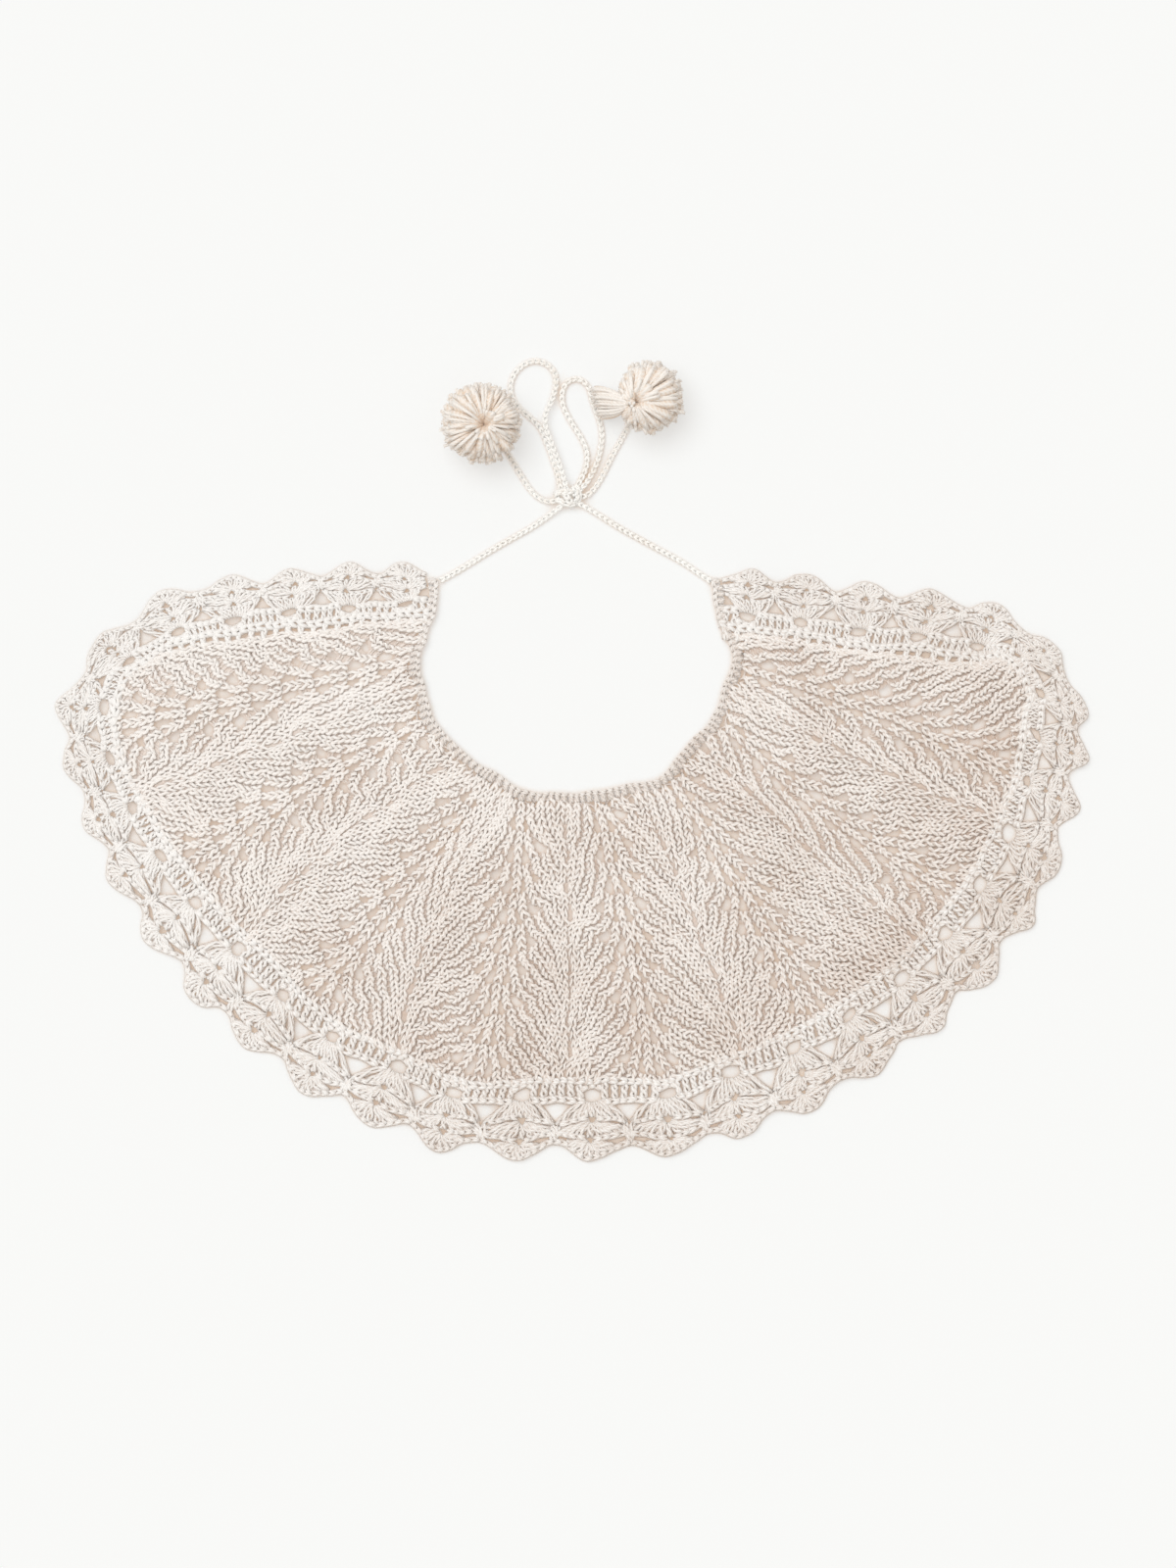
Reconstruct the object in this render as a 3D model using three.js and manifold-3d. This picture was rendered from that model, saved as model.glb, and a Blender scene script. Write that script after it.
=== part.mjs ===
// A lace collar of cream cotton, lying flat: a knitted feather and fan yoke in a crocheted border of shells,
// with a crocheted neck edge and two crocheted cords that are tied in a bow and end in pompoms.
// Millimetres, +Z up, +X to the right and +Y from the hem towards the ties.
// The origin is on the surface that the collar lies on, under the middle of the collar without its ties.
import * as THREE from "three";
import { mergeVertices } from "three/addons/utils/BufferGeometryUtils.js";
import Module from "manifold-3d";

// Driving sizes
const SEAT = 0.3; // between two pieces that touch
const KNIT_THICK = 3; // a plain knit in double knitting cotton
const RIB_RISE = 2.2; // the ribs of the yoke over its lace lines
const BAND_THICK = 2.8;
const SHELL_THICK = 2.4;
const NECK_EDGE_WIDE = 4.5;
const NECK_EDGE_THICK = 4;
const CORD_WIDE = 3.2;
const CORD_SIDES = 8;
const CORD_STEP = 2.5 * CORD_WIDE;

// Eyelets of the yoke, on each lace line
const EYELET_ROWS = 6;
const EYELET_LONG = 0.056; // as a share of the yoke's depth
const EYELET_HALF_AT_NECK = 0.2; // as a share of the way from a lace line to the next rib
const EYELET_HALF_AT_HEM = 0.075;

// The border's scallops, counted from the left end of the neck round the hem to the right end.
// hole is the small gap that a shell is worked into, tip the outermost point of its scallop.
const SCALLOPS = [
  { at: 1, holeX: -85.5, holeY: 131, tipX: -86.5, tipY: 152 },
  { at: 3, holeX: -143.5, holeY: 126.5, tipX: -142, tipY: 149.5 },
  { at: 5, holeX: -201.5, holeY: 116.5, tipX: -208.5, tipY: 137 },
  { at: 6, holeX: -226, holeY: 101.5, tipX: -242, tipY: 112 },
  { at: 7, holeX: -238.5, holeY: 78.5, tipX: -262.5, tipY: 78.5 },
  { at: 8, holeX: -235.5, holeY: 52.5, tipX: -258.5, tipY: 47.5 },
  { at: 10, holeX: -210, holeY: 2.5, tipX: -236, tipY: -11.5 },
  { at: 12, holeX: -170.5, holeY: -45, tipX: -194.5, tipY: -70 },
  { at: 14, holeX: -122.5, holeY: -90, tipX: -138.5, tipY: -117 },
  { at: 15, holeX: -90, holeY: -104.5, tipX: -104, tipY: -134 },
  { at: 16, holeX: -61, holeY: -118.5, tipX: -68.5, tipY: -147.5 },
  { at: 17, holeX: -25, holeY: -120, tipX: -28.5, tipY: -152.5 },
  { at: 18, holeX: 10, holeY: -119, tipX: 8.5, tipY: -152.5 },
  { at: 19, holeX: 48, holeY: -119, tipX: 50, tipY: -150.5 },
  { at: 20, holeX: 81, holeY: -108, tipX: 87.5, tipY: -141 },
  { at: 21, holeX: 114, holeY: -95.5, tipX: 122.5, tipY: -128.5 },
  { at: 23, holeX: 167.5, holeY: -59.5, tipX: 187, tipY: -86 },
  { at: 25, holeX: 208.5, holeY: -12.5, tipX: 235, tipY: -33 },
  { at: 27, holeX: 231.5, holeY: 41, tipX: 257.5, tipY: 26.5 },
  { at: 29, holeX: 238, holeY: 86, tipX: 262.5, tipY: 77.5 },
  { at: 30, holeX: 226.5, holeY: 105, tipX: 246, tipY: 109 },
  { at: 31, holeX: 206.5, holeY: 110, tipX: 218, tipY: 130.5 },
  { at: 33, holeX: 145.5, holeY: 117.5, tipX: 151, tipY: 142.5 },
  { at: 35, holeX: 88.5, holeY: 125, tipX: 90.5, tipY: 149 },
];
const HEM_BEYOND_HOLE = 0.287; // the yoke's hem, as a share of the way from hole to tip
const SEAT_SHARE = 0.018; // the seat between hem and band, on the same way
const BORDER_STARTS = 0.56;
const BORDER_ENDS = 35.44;

// The yoke's lines from the neck to the hem, left to right: an end, then a lace line and a rib by turns,
// and the other end. hemAt counts scallops. An end lies along the border, from neckAt to hemAt.
const LINES = [
  { neckX: -70, neckY: 125, neckAt: 0.7, hemAt: 5.9 },
  { neckX: -78, neckY: 105.5, middleX: -145.5, middleY: 88, hemAt: 7.4 },
  { neckX: -75.5, neckY: 91, middleX: -142, middleY: 64, hemAt: 8.8 },
  { neckX: -71.5, neckY: 74, middleX: -139.5, middleY: 34.5, hemAt: 10.4 },
  { neckX: -55.5, neckY: 56, middleX: -112.5, middleY: 16, hemAt: 11.9 },
  { neckX: -42, neckY: 46, middleX: -88, middleY: -16.5, hemAt: 13.3 },
  { neckX: -33, neckY: 41, middleX: -70, middleY: -30.5, hemAt: 14.9 },
  { neckX: -25, neckY: 36, middleX: -31, middleY: -25.5, hemAt: 16.3 },
  { neckX: -5.5, neckY: 35.5, middleX: -1.5, middleY: -40.5, hemAt: 17.6 },
  { neckX: 11.5, neckY: 35, middleX: 25, middleY: -25.5, hemAt: 18.8 },
  { neckX: 33, neckY: 39.5, middleX: 61.5, middleY: -30.5, hemAt: 20.2 },
  { neckX: 48.5, neckY: 46, middleX: 84, middleY: -10.5, hemAt: 21.5 },
  { neckX: 62.5, neckY: 62, middleX: 123, middleY: 4.5, hemAt: 23.6 },
  { neckX: 72, neckY: 75.5, middleX: 139, middleY: 18, hemAt: 24.6 },
  { neckX: 77, neckY: 89.5, middleX: 148, middleY: 50.5, hemAt: 26.1 },
  { neckX: 83, neckY: 100.5, middleX: 155.5, middleY: 75.5, hemAt: 27.1 },
  { neckX: 76.5, neckY: 119, neckAt: 35.2, hemAt: 30.1 },
];

// Where the yoke sinks in a dent or a soft fold
const DENTS = [
  { x: -58, y: -100, reach: 11, depth: 1.6 },
  { x: -198, y: -11, reach: 12, depth: 1.2 },
  { x: -153, y: -75, reach: 12, depth: 1.2 },
  { x: 10, y: -53, reach: 14, depth: 0.8 },
  { x: 219, y: 88, reach: 10, depth: 1 },
];

// Rows of cells from the yoke's hem to the tips, as shares of that way.
// Columns lie at a middle and a side distance from each scallop's centre, as shares of a scallop.
const BAND_COLUMNS = ["middle"];
const BAND_ROWS = [
  { out: 0, middle: 0.13, high: BAND_THICK },
  { out: 0.155, middle: 0.13, high: BAND_THICK },
  { out: 0.285, middle: 0.13, high: BAND_THICK },
  { out: 0.33, middle: 0.2, high: SHELL_THICK },
];
const BAND_OPEN_ROW = 1;
const SHELL_COLUMNS = ["middle", "side"];
const SHELL_ROWS = [
  { out: 0.342, middle: 0.14, side: 0.36, high: SHELL_THICK },
  { out: 0.5, middle: 0.2, side: 0.45, high: SHELL_THICK },
  { out: 0.74, middle: 0.17, side: 0.38, high: SHELL_THICK + 0.4 },
  { out: 1, middle: 0.13, side: 0.34, high: SHELL_THICK - 0.4 },
];
const SCALLOP_CUT = 0.2; // how much further in the outer edge lies between two tips

// The cords' routes along their centres, from the collar to the knot and from the knot outwards
const KNOT = { x: -2, y: 185, z: 4.7, wide: 14, deep: 13, high: 8.4 };
const WRAP_WIDE = 3; // the turn of cord round the knot's middle
const ROUTES = {
  tie_lead_left: [
    [-67.2, 143.2, 2.4],
    [-58.5, 148, 1.8],
    [-49.5, 153.5, 1.8],
    [-40.5, 159, 1.8],
    [-31, 164.5, 1.8],
    [-22, 169.5, 1.8],
    [-13, 175.5, 2.2],
    [-5, 181.5, 4],
  ],
  tie_lead_right: [
    [70.7, 142.7, 2.4],
    [63.5, 147.5, 1.8],
    [56, 152.5, 1.8],
    [45, 158.5, 1.8],
    [33, 165, 1.8],
    [24, 170, 1.8],
    [14.5, 176, 1.8],
    [7, 180.5, 2.4],
    [0, 184, 4],
  ],
  bow_loop_left: [
    [-4.5, 187, 4.6],
    [-6.4, 192, 3.4],
    [-7.2, 196.5, 1.8],
    [-9, 202, 1.8],
    [-11, 208, 1.8],
    [-13.5, 214.5, 1.8],
    [-15.5, 219.5, 1.8],
    [-18.5, 223.5, 1.8],
    [-22.5, 227, 1.8],
    [-26.5, 230.5, 1.8],
    [-30, 235, 1.8],
    [-31.5, 240.5, 1.8],
    [-30.5, 246.5, 1.8],
    [-27, 251.5, 1.8],
    [-22, 254.6, 1.8],
    [-17, 255, 1.8],
    [-12, 252.8, 1.8],
    [-8.8, 248.5, 1.8],
    [-8.2, 243.5, 2.2],
    [-9.2, 238.5, 3],
    [-11, 233.5, 4.2],
    [-13.4, 228.5, 5.2],
    [-13.8, 223, 5.4],
    [-12.2, 217, 5.4],
    [-9.8, 211, 5.2],
    [-7.4, 204.5, 5.2],
    [-5.2, 198, 5.6],
    [-3.6, 192.5, 6],
    [-2.6, 187.5, 5.4],
  ],
  bow_loop_right: [
    [0, 187, 4],
    [3, 192, 2.4],
    [5.6, 197, 1.8],
    [7.4, 202.5, 1.8],
    [7.4, 209, 1.8],
    [4.8, 215.5, 1.8],
    [1, 221.5, 1.8],
    [-2.5, 227.5, 1.8],
    [-5, 233.5, 1.8],
    [-5, 239.5, 1.8],
    [-2.6, 244.2, 1.8],
    [1.5, 246, 1.8],
    [6.2, 244.4, 1.8],
    [9, 240.2, 1.8],
    [10.2, 235, 1.8],
    [12.4, 229, 1.8],
    [14.4, 223, 1.8],
    [15.2, 216.5, 1.8],
    [14.4, 210, 1.8],
    [12.8, 204, 1.8],
    [10.2, 198, 1.8],
    [7, 192.6, 2.6],
    [2.6, 188, 4.6],
  ],
  tie_tail_left: [
    [-6, 184.5, 4],
    [-12, 183.4, 2.4],
    [-17.5, 185.6, 1.8],
    [-21.8, 190, 1.8],
    [-25.4, 195.5, 1.8],
    [-28.8, 201, 1.8],
    [-32.2, 206.5, 1.8],
    [-36, 211.5, 2.2],
    [-41, 217.5, 6],
  ],
  tie_tail_right: [
    [2, 185, 4],
    [8.4, 187.2, 2.4],
    [12.8, 192.4, 1.8],
    [16.2, 198.2, 1.8],
    [18.8, 203.6, 1.8],
    [21.6, 209, 1.8],
    [25, 215, 1.8],
    [28.5, 221.5, 2.4],
    [33, 229, 6],
  ],
};

const POMPOMS = {
  pompom_left: { x: -46, y: 222, radius: 20.5, high: 37, locks: 24, turn: 1.2 },
  pompom_right: { x: 38, y: 235.5, radius: 18.6, high: 34, locks: 22, turn: 1.2, tuft: true },
};
const POMPOM_CORE = 0.8; // its radius, as a share of the pompom's
const LOCK_WIDE = 7;
const LOCK_SIDES = 5;
const LOCK_CLEAR = 0.6; // from the locks' tips to the end of a cord
const TUFT = { x: 20.5, y: 233.5, z: 10.4, long: 25, wide: 17, high: 11 }; // flops over the right loop

// How far a room that is cut from a piece reaches below the surface, above it, and inside the neck's edge
const ROOM_LOW = -1;
const ROOM_HIGH = 12;
const ROOM_INSIDE = -0.1;

// Facets round and from top to bottom
const KNOT_FACETS = [12, 6];
const CORE_FACETS = [10, 7];
const ROOM_FACETS = [14, 8];

const CREAM = 0xeae0cf;
const PALE = 0xf1e9da;

const wasm = await Module();
wasm.setup();

const mix = (from, to, share) => from + (to - from) * share;

// A smooth curve through a table's rows, as a function of the column that counts along it
function smooth(table, along, value, place) {
  const last = table.length - 1;
  let row = 0;
  while (row < last - 1 && place > table[row + 1][along]) row += 1;
  const slope = (index) => {
    const before = table[Math.max(index - 1, 0)];
    const after = table[Math.min(index + 1, last)];
    return (after[value] - before[value]) / (after[along] - before[along]);
  };
  const span = table[row + 1][along] - table[row][along];
  const share = (place - table[row][along]) / span;
  if (share < 0) return table[row][value] + slope(row) * share * span;
  if (share > 1) return table[row + 1][value] + slope(row + 1) * (share - 1) * span;
  const square = share * share;
  const cube = square * share;
  return (
    table[row][value] * (2 * cube - 3 * square + 1) +
    table[row + 1][value] * (3 * square - 2 * cube) +
    slope(row) * span * (cube - 2 * square + share) +
    slope(row + 1) * span * (cube - square)
  );
}

// A place on the border: at counts scallops, out runs from the yoke's hem at 0 to the tips at 1
function borderPoint(at, out) {
  const hole = new THREE.Vector2(
    smooth(SCALLOPS, "at", "holeX", at),
    smooth(SCALLOPS, "at", "holeY", at),
  );
  const tip = new THREE.Vector2(
    smooth(SCALLOPS, "at", "tipX", at),
    smooth(SCALLOPS, "at", "tipY", at),
  );
  const hem = hole.clone().lerp(tip, -HEM_BEYOND_HOLE);
  return hem.lerp(tip, out);
}

// A place on one of the yoke's lines, at a share of the way from its neck to its hem
function linePoint(line, down) {
  if (line.neckAt) return borderPoint(mix(line.neckAt, line.hemAt, down), 0);
  const neck = new THREE.Vector2(line.neckX, line.neckY);
  const middle = new THREE.Vector2(line.middleX, line.middleY);
  const hem = borderPoint(line.hemAt, 0);
  const first = neck.distanceTo(middle);
  const half = first / (first + middle.distanceTo(hem));
  const atNeck = ((down - half) * (down - 1)) / half;
  const atMiddle = (down * (down - 1)) / (half * (half - 1));
  const atHem = (down * (down - half)) / (1 - half);
  return neck.multiplyScalar(atNeck).addScaledVector(middle, atMiddle).addScaledVector(hem, atHem);
}

// A place between two of the yoke's lines, at a share of the way from the neck to the hem.
// across counts lines, and a whole number is on one of them.
function betweenLines(across, down) {
  const left = Math.min(Math.floor(across), LINES.length - 2);
  const share = across - left;
  const point = linePoint(LINES[left], down).lerp(linePoint(LINES[left + 1], down), share);
  const drift = linePoint(LINES[left], 1).lerp(linePoint(LINES[left + 1], 1), share);
  const hem = borderPoint(mix(LINES[left].hemAt, LINES[left + 1].hemAt, share), 0);
  return point.addScaledVector(hem.sub(drift), down);
}

// A place on the inner edge of the neck, where lines of the yoke start
const neckCurve = new THREE.SplineCurve(LINES.map((line) => new THREE.Vector2(line.neckX, line.neckY)));
const neckPoint = (across) => neckCurve.getPoint(across / (LINES.length - 1));

// The way from the neck's inner edge into the yoke
function neckOutward(across) {
  return betweenLines(across, 0.2).sub(neckPoint(across)).normalize();
}

// A place on the knitted yoke, from the outer side of the neck edging to the hem
function yokePoint(across, down) {
  const start = neckPoint(across).addScaledVector(neckOutward(across), NECK_EDGE_WIDE);
  const shift = start.sub(betweenLines(across, 0)).multiplyScalar(1 - down);
  return betweenLines(across, down).add(shift);
}

// How far the yoke's underside stands off the surface: high at the ribs, down at the lace lines
function yokeLift(across, down, point) {
  const rise = 0.5 + 0.5 * Math.cos(Math.PI * across);
  const nearEnd = Math.min(across, LINES.length - 1 - across, 1);
  const fade = Math.sin(Math.PI * mix(0.12, 0.86, down)) * mix(0.2, 1, nearEnd);
  let lift = RIB_RISE * rise * fade;
  for (const dent of DENTS) {
    const away = Math.hypot(point.x - dent.x, point.y - dent.y) / dent.reach;
    lift -= dent.depth * Math.exp(-away * away);
  }
  return Math.max(lift, 0);
}

// A closed sheet of cells: corners[column][row] holds x, y, low and high,
// and isOpen(column, row) is true for a gap
function sheetGeometry(corners, isOpen) {
  const columns = corners.length - 1;
  const rows = corners[0].length - 1;
  const positions = [];
  const solid = (column, row) =>
    column >= 0 && row >= 0 && column < columns && row < rows && !isOpen(column, row);
  const top = (corner) => [corner.x, corner.y, corner.high];
  const bottom = (corner) => [corner.x, corner.y, corner.low];
  const face = (a, b, c, d) => positions.push(...a, ...b, ...c, ...a, ...c, ...d);
  const wall = (from, to) => face(bottom(from), bottom(to), top(to), top(from));
  for (let column = 0; column < columns; column += 1) {
    for (let row = 0; row < rows; row += 1) {
      if (!solid(column, row)) continue;
      const start = corners[column][row];
      const next = corners[column + 1][row];
      const far = corners[column + 1][row + 1];
      const side = corners[column][row + 1];
      face(top(start), top(side), top(far), top(next));
      face(bottom(start), bottom(next), bottom(far), bottom(side));
      if (!solid(column, row - 1)) wall(next, start);
      if (!solid(column + 1, row)) wall(far, next);
      if (!solid(column, row + 1)) wall(side, far);
      if (!solid(column - 1, row)) wall(start, side);
    }
  }
  const geometry = new THREE.BufferGeometry();
  geometry.setAttribute("position", new THREE.Float32BufferAttribute(positions, 3));
  return facingOut(geometry);
}

// Turns every face round if the whole body is inside out
function facingOut(geometry) {
  const body = solidOf(geometry);
  if (body.volume() > 0) return geometry;
  const position = geometry.getAttribute("position");
  for (let face = 0; face < position.count; face += 3) {
    const second = new THREE.Vector3().fromBufferAttribute(position, face + 1);
    const third = new THREE.Vector3().fromBufferAttribute(position, face + 2);
    position.setXYZ(face + 1, third.x, third.y, third.z);
    position.setXYZ(face + 2, second.x, second.y, second.z);
  }
  return geometry;
}

// A closed geometry as a solid that can be cut and joined
function solidOf(geometry) {
  const bare = geometry.index ? geometry.toNonIndexed() : geometry.clone();
  for (const name of Object.keys(bare.attributes)) {
    if (name !== "position") bare.deleteAttribute(name);
  }
  const merged = mergeVertices(bare, 1e-4);
  return new wasm.Manifold(
    new wasm.Mesh({
      numProp: 3,
      vertProperties: merged.attributes.position.array,
      triVerts: new Uint32Array(merged.index.array),
    }),
  );
}

// What is left of a solid once the scraps that a cut has freed are gone
function largestBody(solid) {
  return solid.decompose().reduce((best, body) => (body.volume() > best.volume() ? body : best));
}

function geometryOf(solid) {
  const mesh = solid.getMesh();
  const geometry = new THREE.BufferGeometry();
  geometry.setAttribute("position", new THREE.BufferAttribute(mesh.vertProperties, 3));
  geometry.setIndex(new THREE.BufferAttribute(mesh.triVerts, 1));
  return geometry;
}

// Columns of a border sheet, as places counted in scallops, for one row of its table
function borderColumns(names, row) {
  const places = [BORDER_STARTS];
  const first = Math.round(BORDER_STARTS);
  const last = Math.round(BORDER_ENDS);
  for (let scallop = first; scallop <= last; scallop += 1) {
    for (const name of [...names].reverse()) places.push(scallop - row[name]);
    for (const name of names) places.push(scallop + row[name]);
    if (names.length > 1 && scallop < last) places.push(scallop + 0.5);
  }
  places.push(BORDER_ENDS);
  return places;
}

// The crocheted band at the yoke's hem: a row of single crochet, then blocks of double crochet
// with a gap at the foot of each shell
function edgingBand() {
  const byRow = BAND_ROWS.map((row) =>
    borderColumns(BAND_COLUMNS, row).map((at) => ({
      ...pointXY(borderPoint(at, row.out)),
      low: 0,
      high: row.high,
    })),
  );
  const isOpen = (column, row) => row === BAND_OPEN_ROW && column % 2 === 1;
  const band = solidOf(sheetGeometry(columnsOf(byRow), isOpen));
  return geometryOf(largestBody(band.subtract(neckRoom())));
}

// The tiers of shells outside the band, with a scalloped edge and a gap between each two shells
function shellLace() {
  const lastRow = SHELL_ROWS.length - 1;
  const byRow = SHELL_ROWS.map((row, index) =>
    borderColumns(SHELL_COLUMNS, row).map((at) => {
      const fromTip = Math.abs(at - Math.round(at));
      const cut = index === lastRow ? (SCALLOP_CUT * (1 - Math.cos(2 * Math.PI * fromTip))) / 2 : 0;
      return { ...pointXY(borderPoint(at, row.out - cut)), low: 0, high: row.high };
    }),
  );
  const perScallop = 2 * SHELL_COLUMNS.length + 1;
  const lastColumn = byRow[0].length - 2;
  const isOpen = (column, row) => {
    const besideMiddle = column % perScallop === 0 || column % perScallop === perScallop - 1;
    return row === 0 && column > 0 && column < lastColumn && besideMiddle;
  };
  const lace = solidOf(sheetGeometry(columnsOf(byRow), isOpen));
  return geometryOf(largestBody(lace.subtract(neckRoom())));
}

const pointXY = (point) => ({ x: point.x, y: point.y });

// Rows of corners turned into columns of corners
function columnsOf(byRow) {
  return byRow[0].map((_, column) => byRow.map((row) => row[column]));
}

// The knitted yoke, with eyelets along its lace lines
function knitYoke() {
  const lines = LINES.length - 1;
  const columns = [];
  for (let line = 0; line <= lines; line += 1) {
    if (line % 2 === 1) columns.push({ line, side: -1 }, { line, side: 1 });
    else columns.push({ line, side: 0 });
    if (line === 0) columns.push({ line: 0.25, side: 0 });
    if (line < lines) columns.push({ line: line + 0.5, side: 0 });
    if (line === lines - 1) columns.push({ line: line + 0.75, side: 0 });
  }
  const downs = [0];
  for (let eyelet = 0; eyelet < EYELET_ROWS; eyelet += 1) {
    const centre = (eyelet + 0.5) / EYELET_ROWS;
    downs.push(centre - EYELET_LONG / 2, centre + EYELET_LONG / 2);
  }
  downs.push(1);
  const corners = columns.map(({ line, side }) =>
    downs.map((down) => {
      const across = line + side * mix(EYELET_HALF_AT_NECK, EYELET_HALF_AT_HEM, down);
      const point = yokePoint(across, down);
      const low = yokeLift(across, down, point);
      return { x: point.x, y: point.y, low, high: low + KNIT_THICK };
    }),
  );
  const isOpen = (column, row) => row % 2 === 1 && columns[column].side === -1;
  const knit = solidOf(sheetGeometry(corners, isOpen));
  return geometryOf(knit.subtract(borderRoom()).subtract(neckRoom()));
}

// What the yoke has to stay out of along its hem and its two ends
function borderRoom() {
  const outs = [-SEAT_SHARE, BAND_ROWS[BAND_ROWS.length - 1].out];
  const corners = borderColumns(BAND_COLUMNS, BAND_ROWS[0]).map((at) =>
    outs.map((out) => ({ ...pointXY(borderPoint(at, out)), low: ROOM_LOW, high: ROOM_HIGH })),
  );
  return solidOf(sheetGeometry(corners, () => false));
}

// What the yoke and the border have to stay out of round the neck
function neckRoom() {
  const reach = 1 + SEAT / NECK_EDGE_WIDE;
  const corners = neckStations().map((station) =>
    [ROOM_INSIDE, reach].map((out) => ({ ...neckCorner(station, out), low: ROOM_LOW, high: ROOM_HIGH })),
  );
  return solidOf(sheetGeometry(corners, () => false));
}

// Places along the inner edge of the neck, from one end of the border to the other, and the way out from them
function neckStations() {
  const stations = [
    { x: -67.5, y: 143, outX: -1, outY: 0 },
    { x: -68.4, y: 134, outX: -1, outY: 0 },
  ];
  for (let across = 0; across < LINES.length - 0.5; across += 0.5) {
    const inner = neckPoint(across);
    const outward = neckOutward(across);
    stations.push({ x: inner.x, y: inner.y, outX: outward.x, outY: outward.y });
  }
  stations.push({ x: 73.2, y: 130, outX: 1, outY: 0 });
  stations.push({ x: 71, y: 142.5, outX: 1, outY: 0 });
  return stations;
}

function neckCorner(station, out) {
  return {
    x: station.x + station.outX * out * NECK_EDGE_WIDE,
    y: station.y + station.outY * out * NECK_EDGE_WIDE,
  };
}

// The crocheted edge of the neck, rounded over its top
function neckEdging() {
  const profile = [
    { out: 0, high: 0.5 },
    { out: 0.4, high: 1 },
    { out: 1, high: 0.7 },
  ];
  const corners = neckStations().map((station) =>
    profile.map(({ out, high }) => ({
      ...neckCorner(station, out),
      low: 0,
      high: high * NECK_EDGE_THICK,
    })),
  );
  return sheetGeometry(corners, () => false);
}

function ellipsoid(wide, deep, high, facets) {
  return new THREE.SphereGeometry(0.5, ...facets).scale(wide, deep, high);
}

// The cord wrapped round itself in the middle of the bow
function bowKnot() {
  const core = solidOf(ellipsoid(KNOT.wide, KNOT.deep, KNOT.high, KNOT_FACETS));
  const wrapGeometry = new THREE.TorusGeometry(KNOT.high / 2 - WRAP_WIDE / 2, WRAP_WIDE / 2, 6, 10);
  wrapGeometry.scale(1.6, 1.06, 1.2).rotateX(Math.PI / 2).rotateZ(0.6);
  const knot = core.add(solidOf(wrapGeometry));
  return geometryOf(knot.translate([KNOT.x, KNOT.y, KNOT.z]));
}

// What a cord has to stay out of at the knot and at a pompom
function knotRoom() {
  const grown = ellipsoid(KNOT.wide + 2 * SEAT, KNOT.deep + 2 * SEAT, KNOT.high + 2 * SEAT, KNOT_FACETS);
  return solidOf(grown.translate(KNOT.x, KNOT.y, KNOT.z));
}

function pompomRoom({ x, y, radius, high }) {
  const wide = 2 * (radius + LOCK_CLEAR);
  const grown = ellipsoid(wide, wide, high + 2 * LOCK_CLEAR, ROOM_FACETS);
  return solidOf(grown.translate(x, y, high / 2 + SEAT));
}

// A cord along its route, ending at the face of what it is tied to
function cord(name) {
  const points = ROUTES[name].map(([x, y, z]) => new THREE.Vector3(x, y, z));
  const route = new THREE.CatmullRomCurve3(points, false, "centripetal");
  const circle = new THREE.Path().absarc(0, 0, CORD_WIDE / 2, 0, 2 * Math.PI, false);
  const section = new THREE.Shape(circle.getSpacedPoints(CORD_SIDES).slice(1));
  const tube = new THREE.ExtrudeGeometry(section, {
    extrudePath: route,
    steps: Math.round(route.getLength() / CORD_STEP),
    bevelEnabled: false,
  });
  let solid = solidOf(tube);
  for (const room of [knotRoom(), ...Object.values(POMPOMS).map(pompomRoom)]) {
    solid = solid.subtract(room);
  }
  return geometryOf(largestBody(solid));
}

// A pompom: locks of yarn all round a soft core, resting a little flattened
function pompom({ x, y, radius, high, locks, turn, tuft }) {
  const core = 2 * radius * POMPOM_CORE;
  let ball = solidOf(ellipsoid(core, core, core, CORE_FACETS));
  for (let lock = 0; lock < locks; lock += 1) {
    const rise = 1 - (2 * (lock + 0.5)) / locks;
    const heading = turn + lock * Math.PI * (3 - Math.sqrt(5));
    const level = Math.sqrt(1 - rise * rise);
    const outward = new THREE.Vector3(level * Math.cos(heading), level * Math.sin(heading), rise);
    const strip = new THREE.CylinderGeometry(LOCK_WIDE / 2, LOCK_WIDE / 3, radius, LOCK_SIDES);
    strip.translate(0, radius / 2, 0);
    strip.applyQuaternion(new THREE.Quaternion().setFromUnitVectors(new THREE.Vector3(0, 1, 0), outward));
    ball = ball.add(solidOf(strip));
  }
  const widest = new THREE.Box3().setFromBufferAttribute(geometryOf(ball).getAttribute("position"));
  const size = widest.getSize(new THREE.Vector3());
  ball = ball.scale([(2 * radius) / size.x, (2 * radius) / size.y, high / size.z]);
  const low = ball.boundingBox().min[2];
  ball = ball.translate([x, y, SEAT - low]);
  if (tuft) {
    const strands = ellipsoid(TUFT.long, TUFT.wide, TUFT.high, KNOT_FACETS);
    ball = ball.add(solidOf(strands.translate(TUFT.x, TUFT.y, TUFT.z)));
  }
  return geometryOf(ball);
}

function addPiece(group, name, geometry, color, roughness) {
  const material = new THREE.MeshStandardMaterial({ color, roughness, metalness: 0 });
  const mesh = new THREE.Mesh(geometry, material);
  mesh.name = name;
  group.add(mesh);
}

const collar = new THREE.Group();
collar.name = "crochet_collar";
addPiece(collar, "knit_yoke", knitYoke(), CREAM, 0.95);
addPiece(collar, "edging_band", edgingBand(), CREAM, 0.95);
addPiece(collar, "shell_lace", shellLace(), CREAM, 0.95);
addPiece(collar, "neck_edging", neckEdging(), CREAM, 0.95);
addPiece(collar, "bow_knot", bowKnot(), PALE, 0.9);
for (const name of Object.keys(ROUTES)) addPiece(collar, name, cord(name), PALE, 0.9);
for (const [name, sizes] of Object.entries(POMPOMS)) addPiece(collar, name, pompom(sizes), PALE, 0.95);

export default collar;
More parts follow.
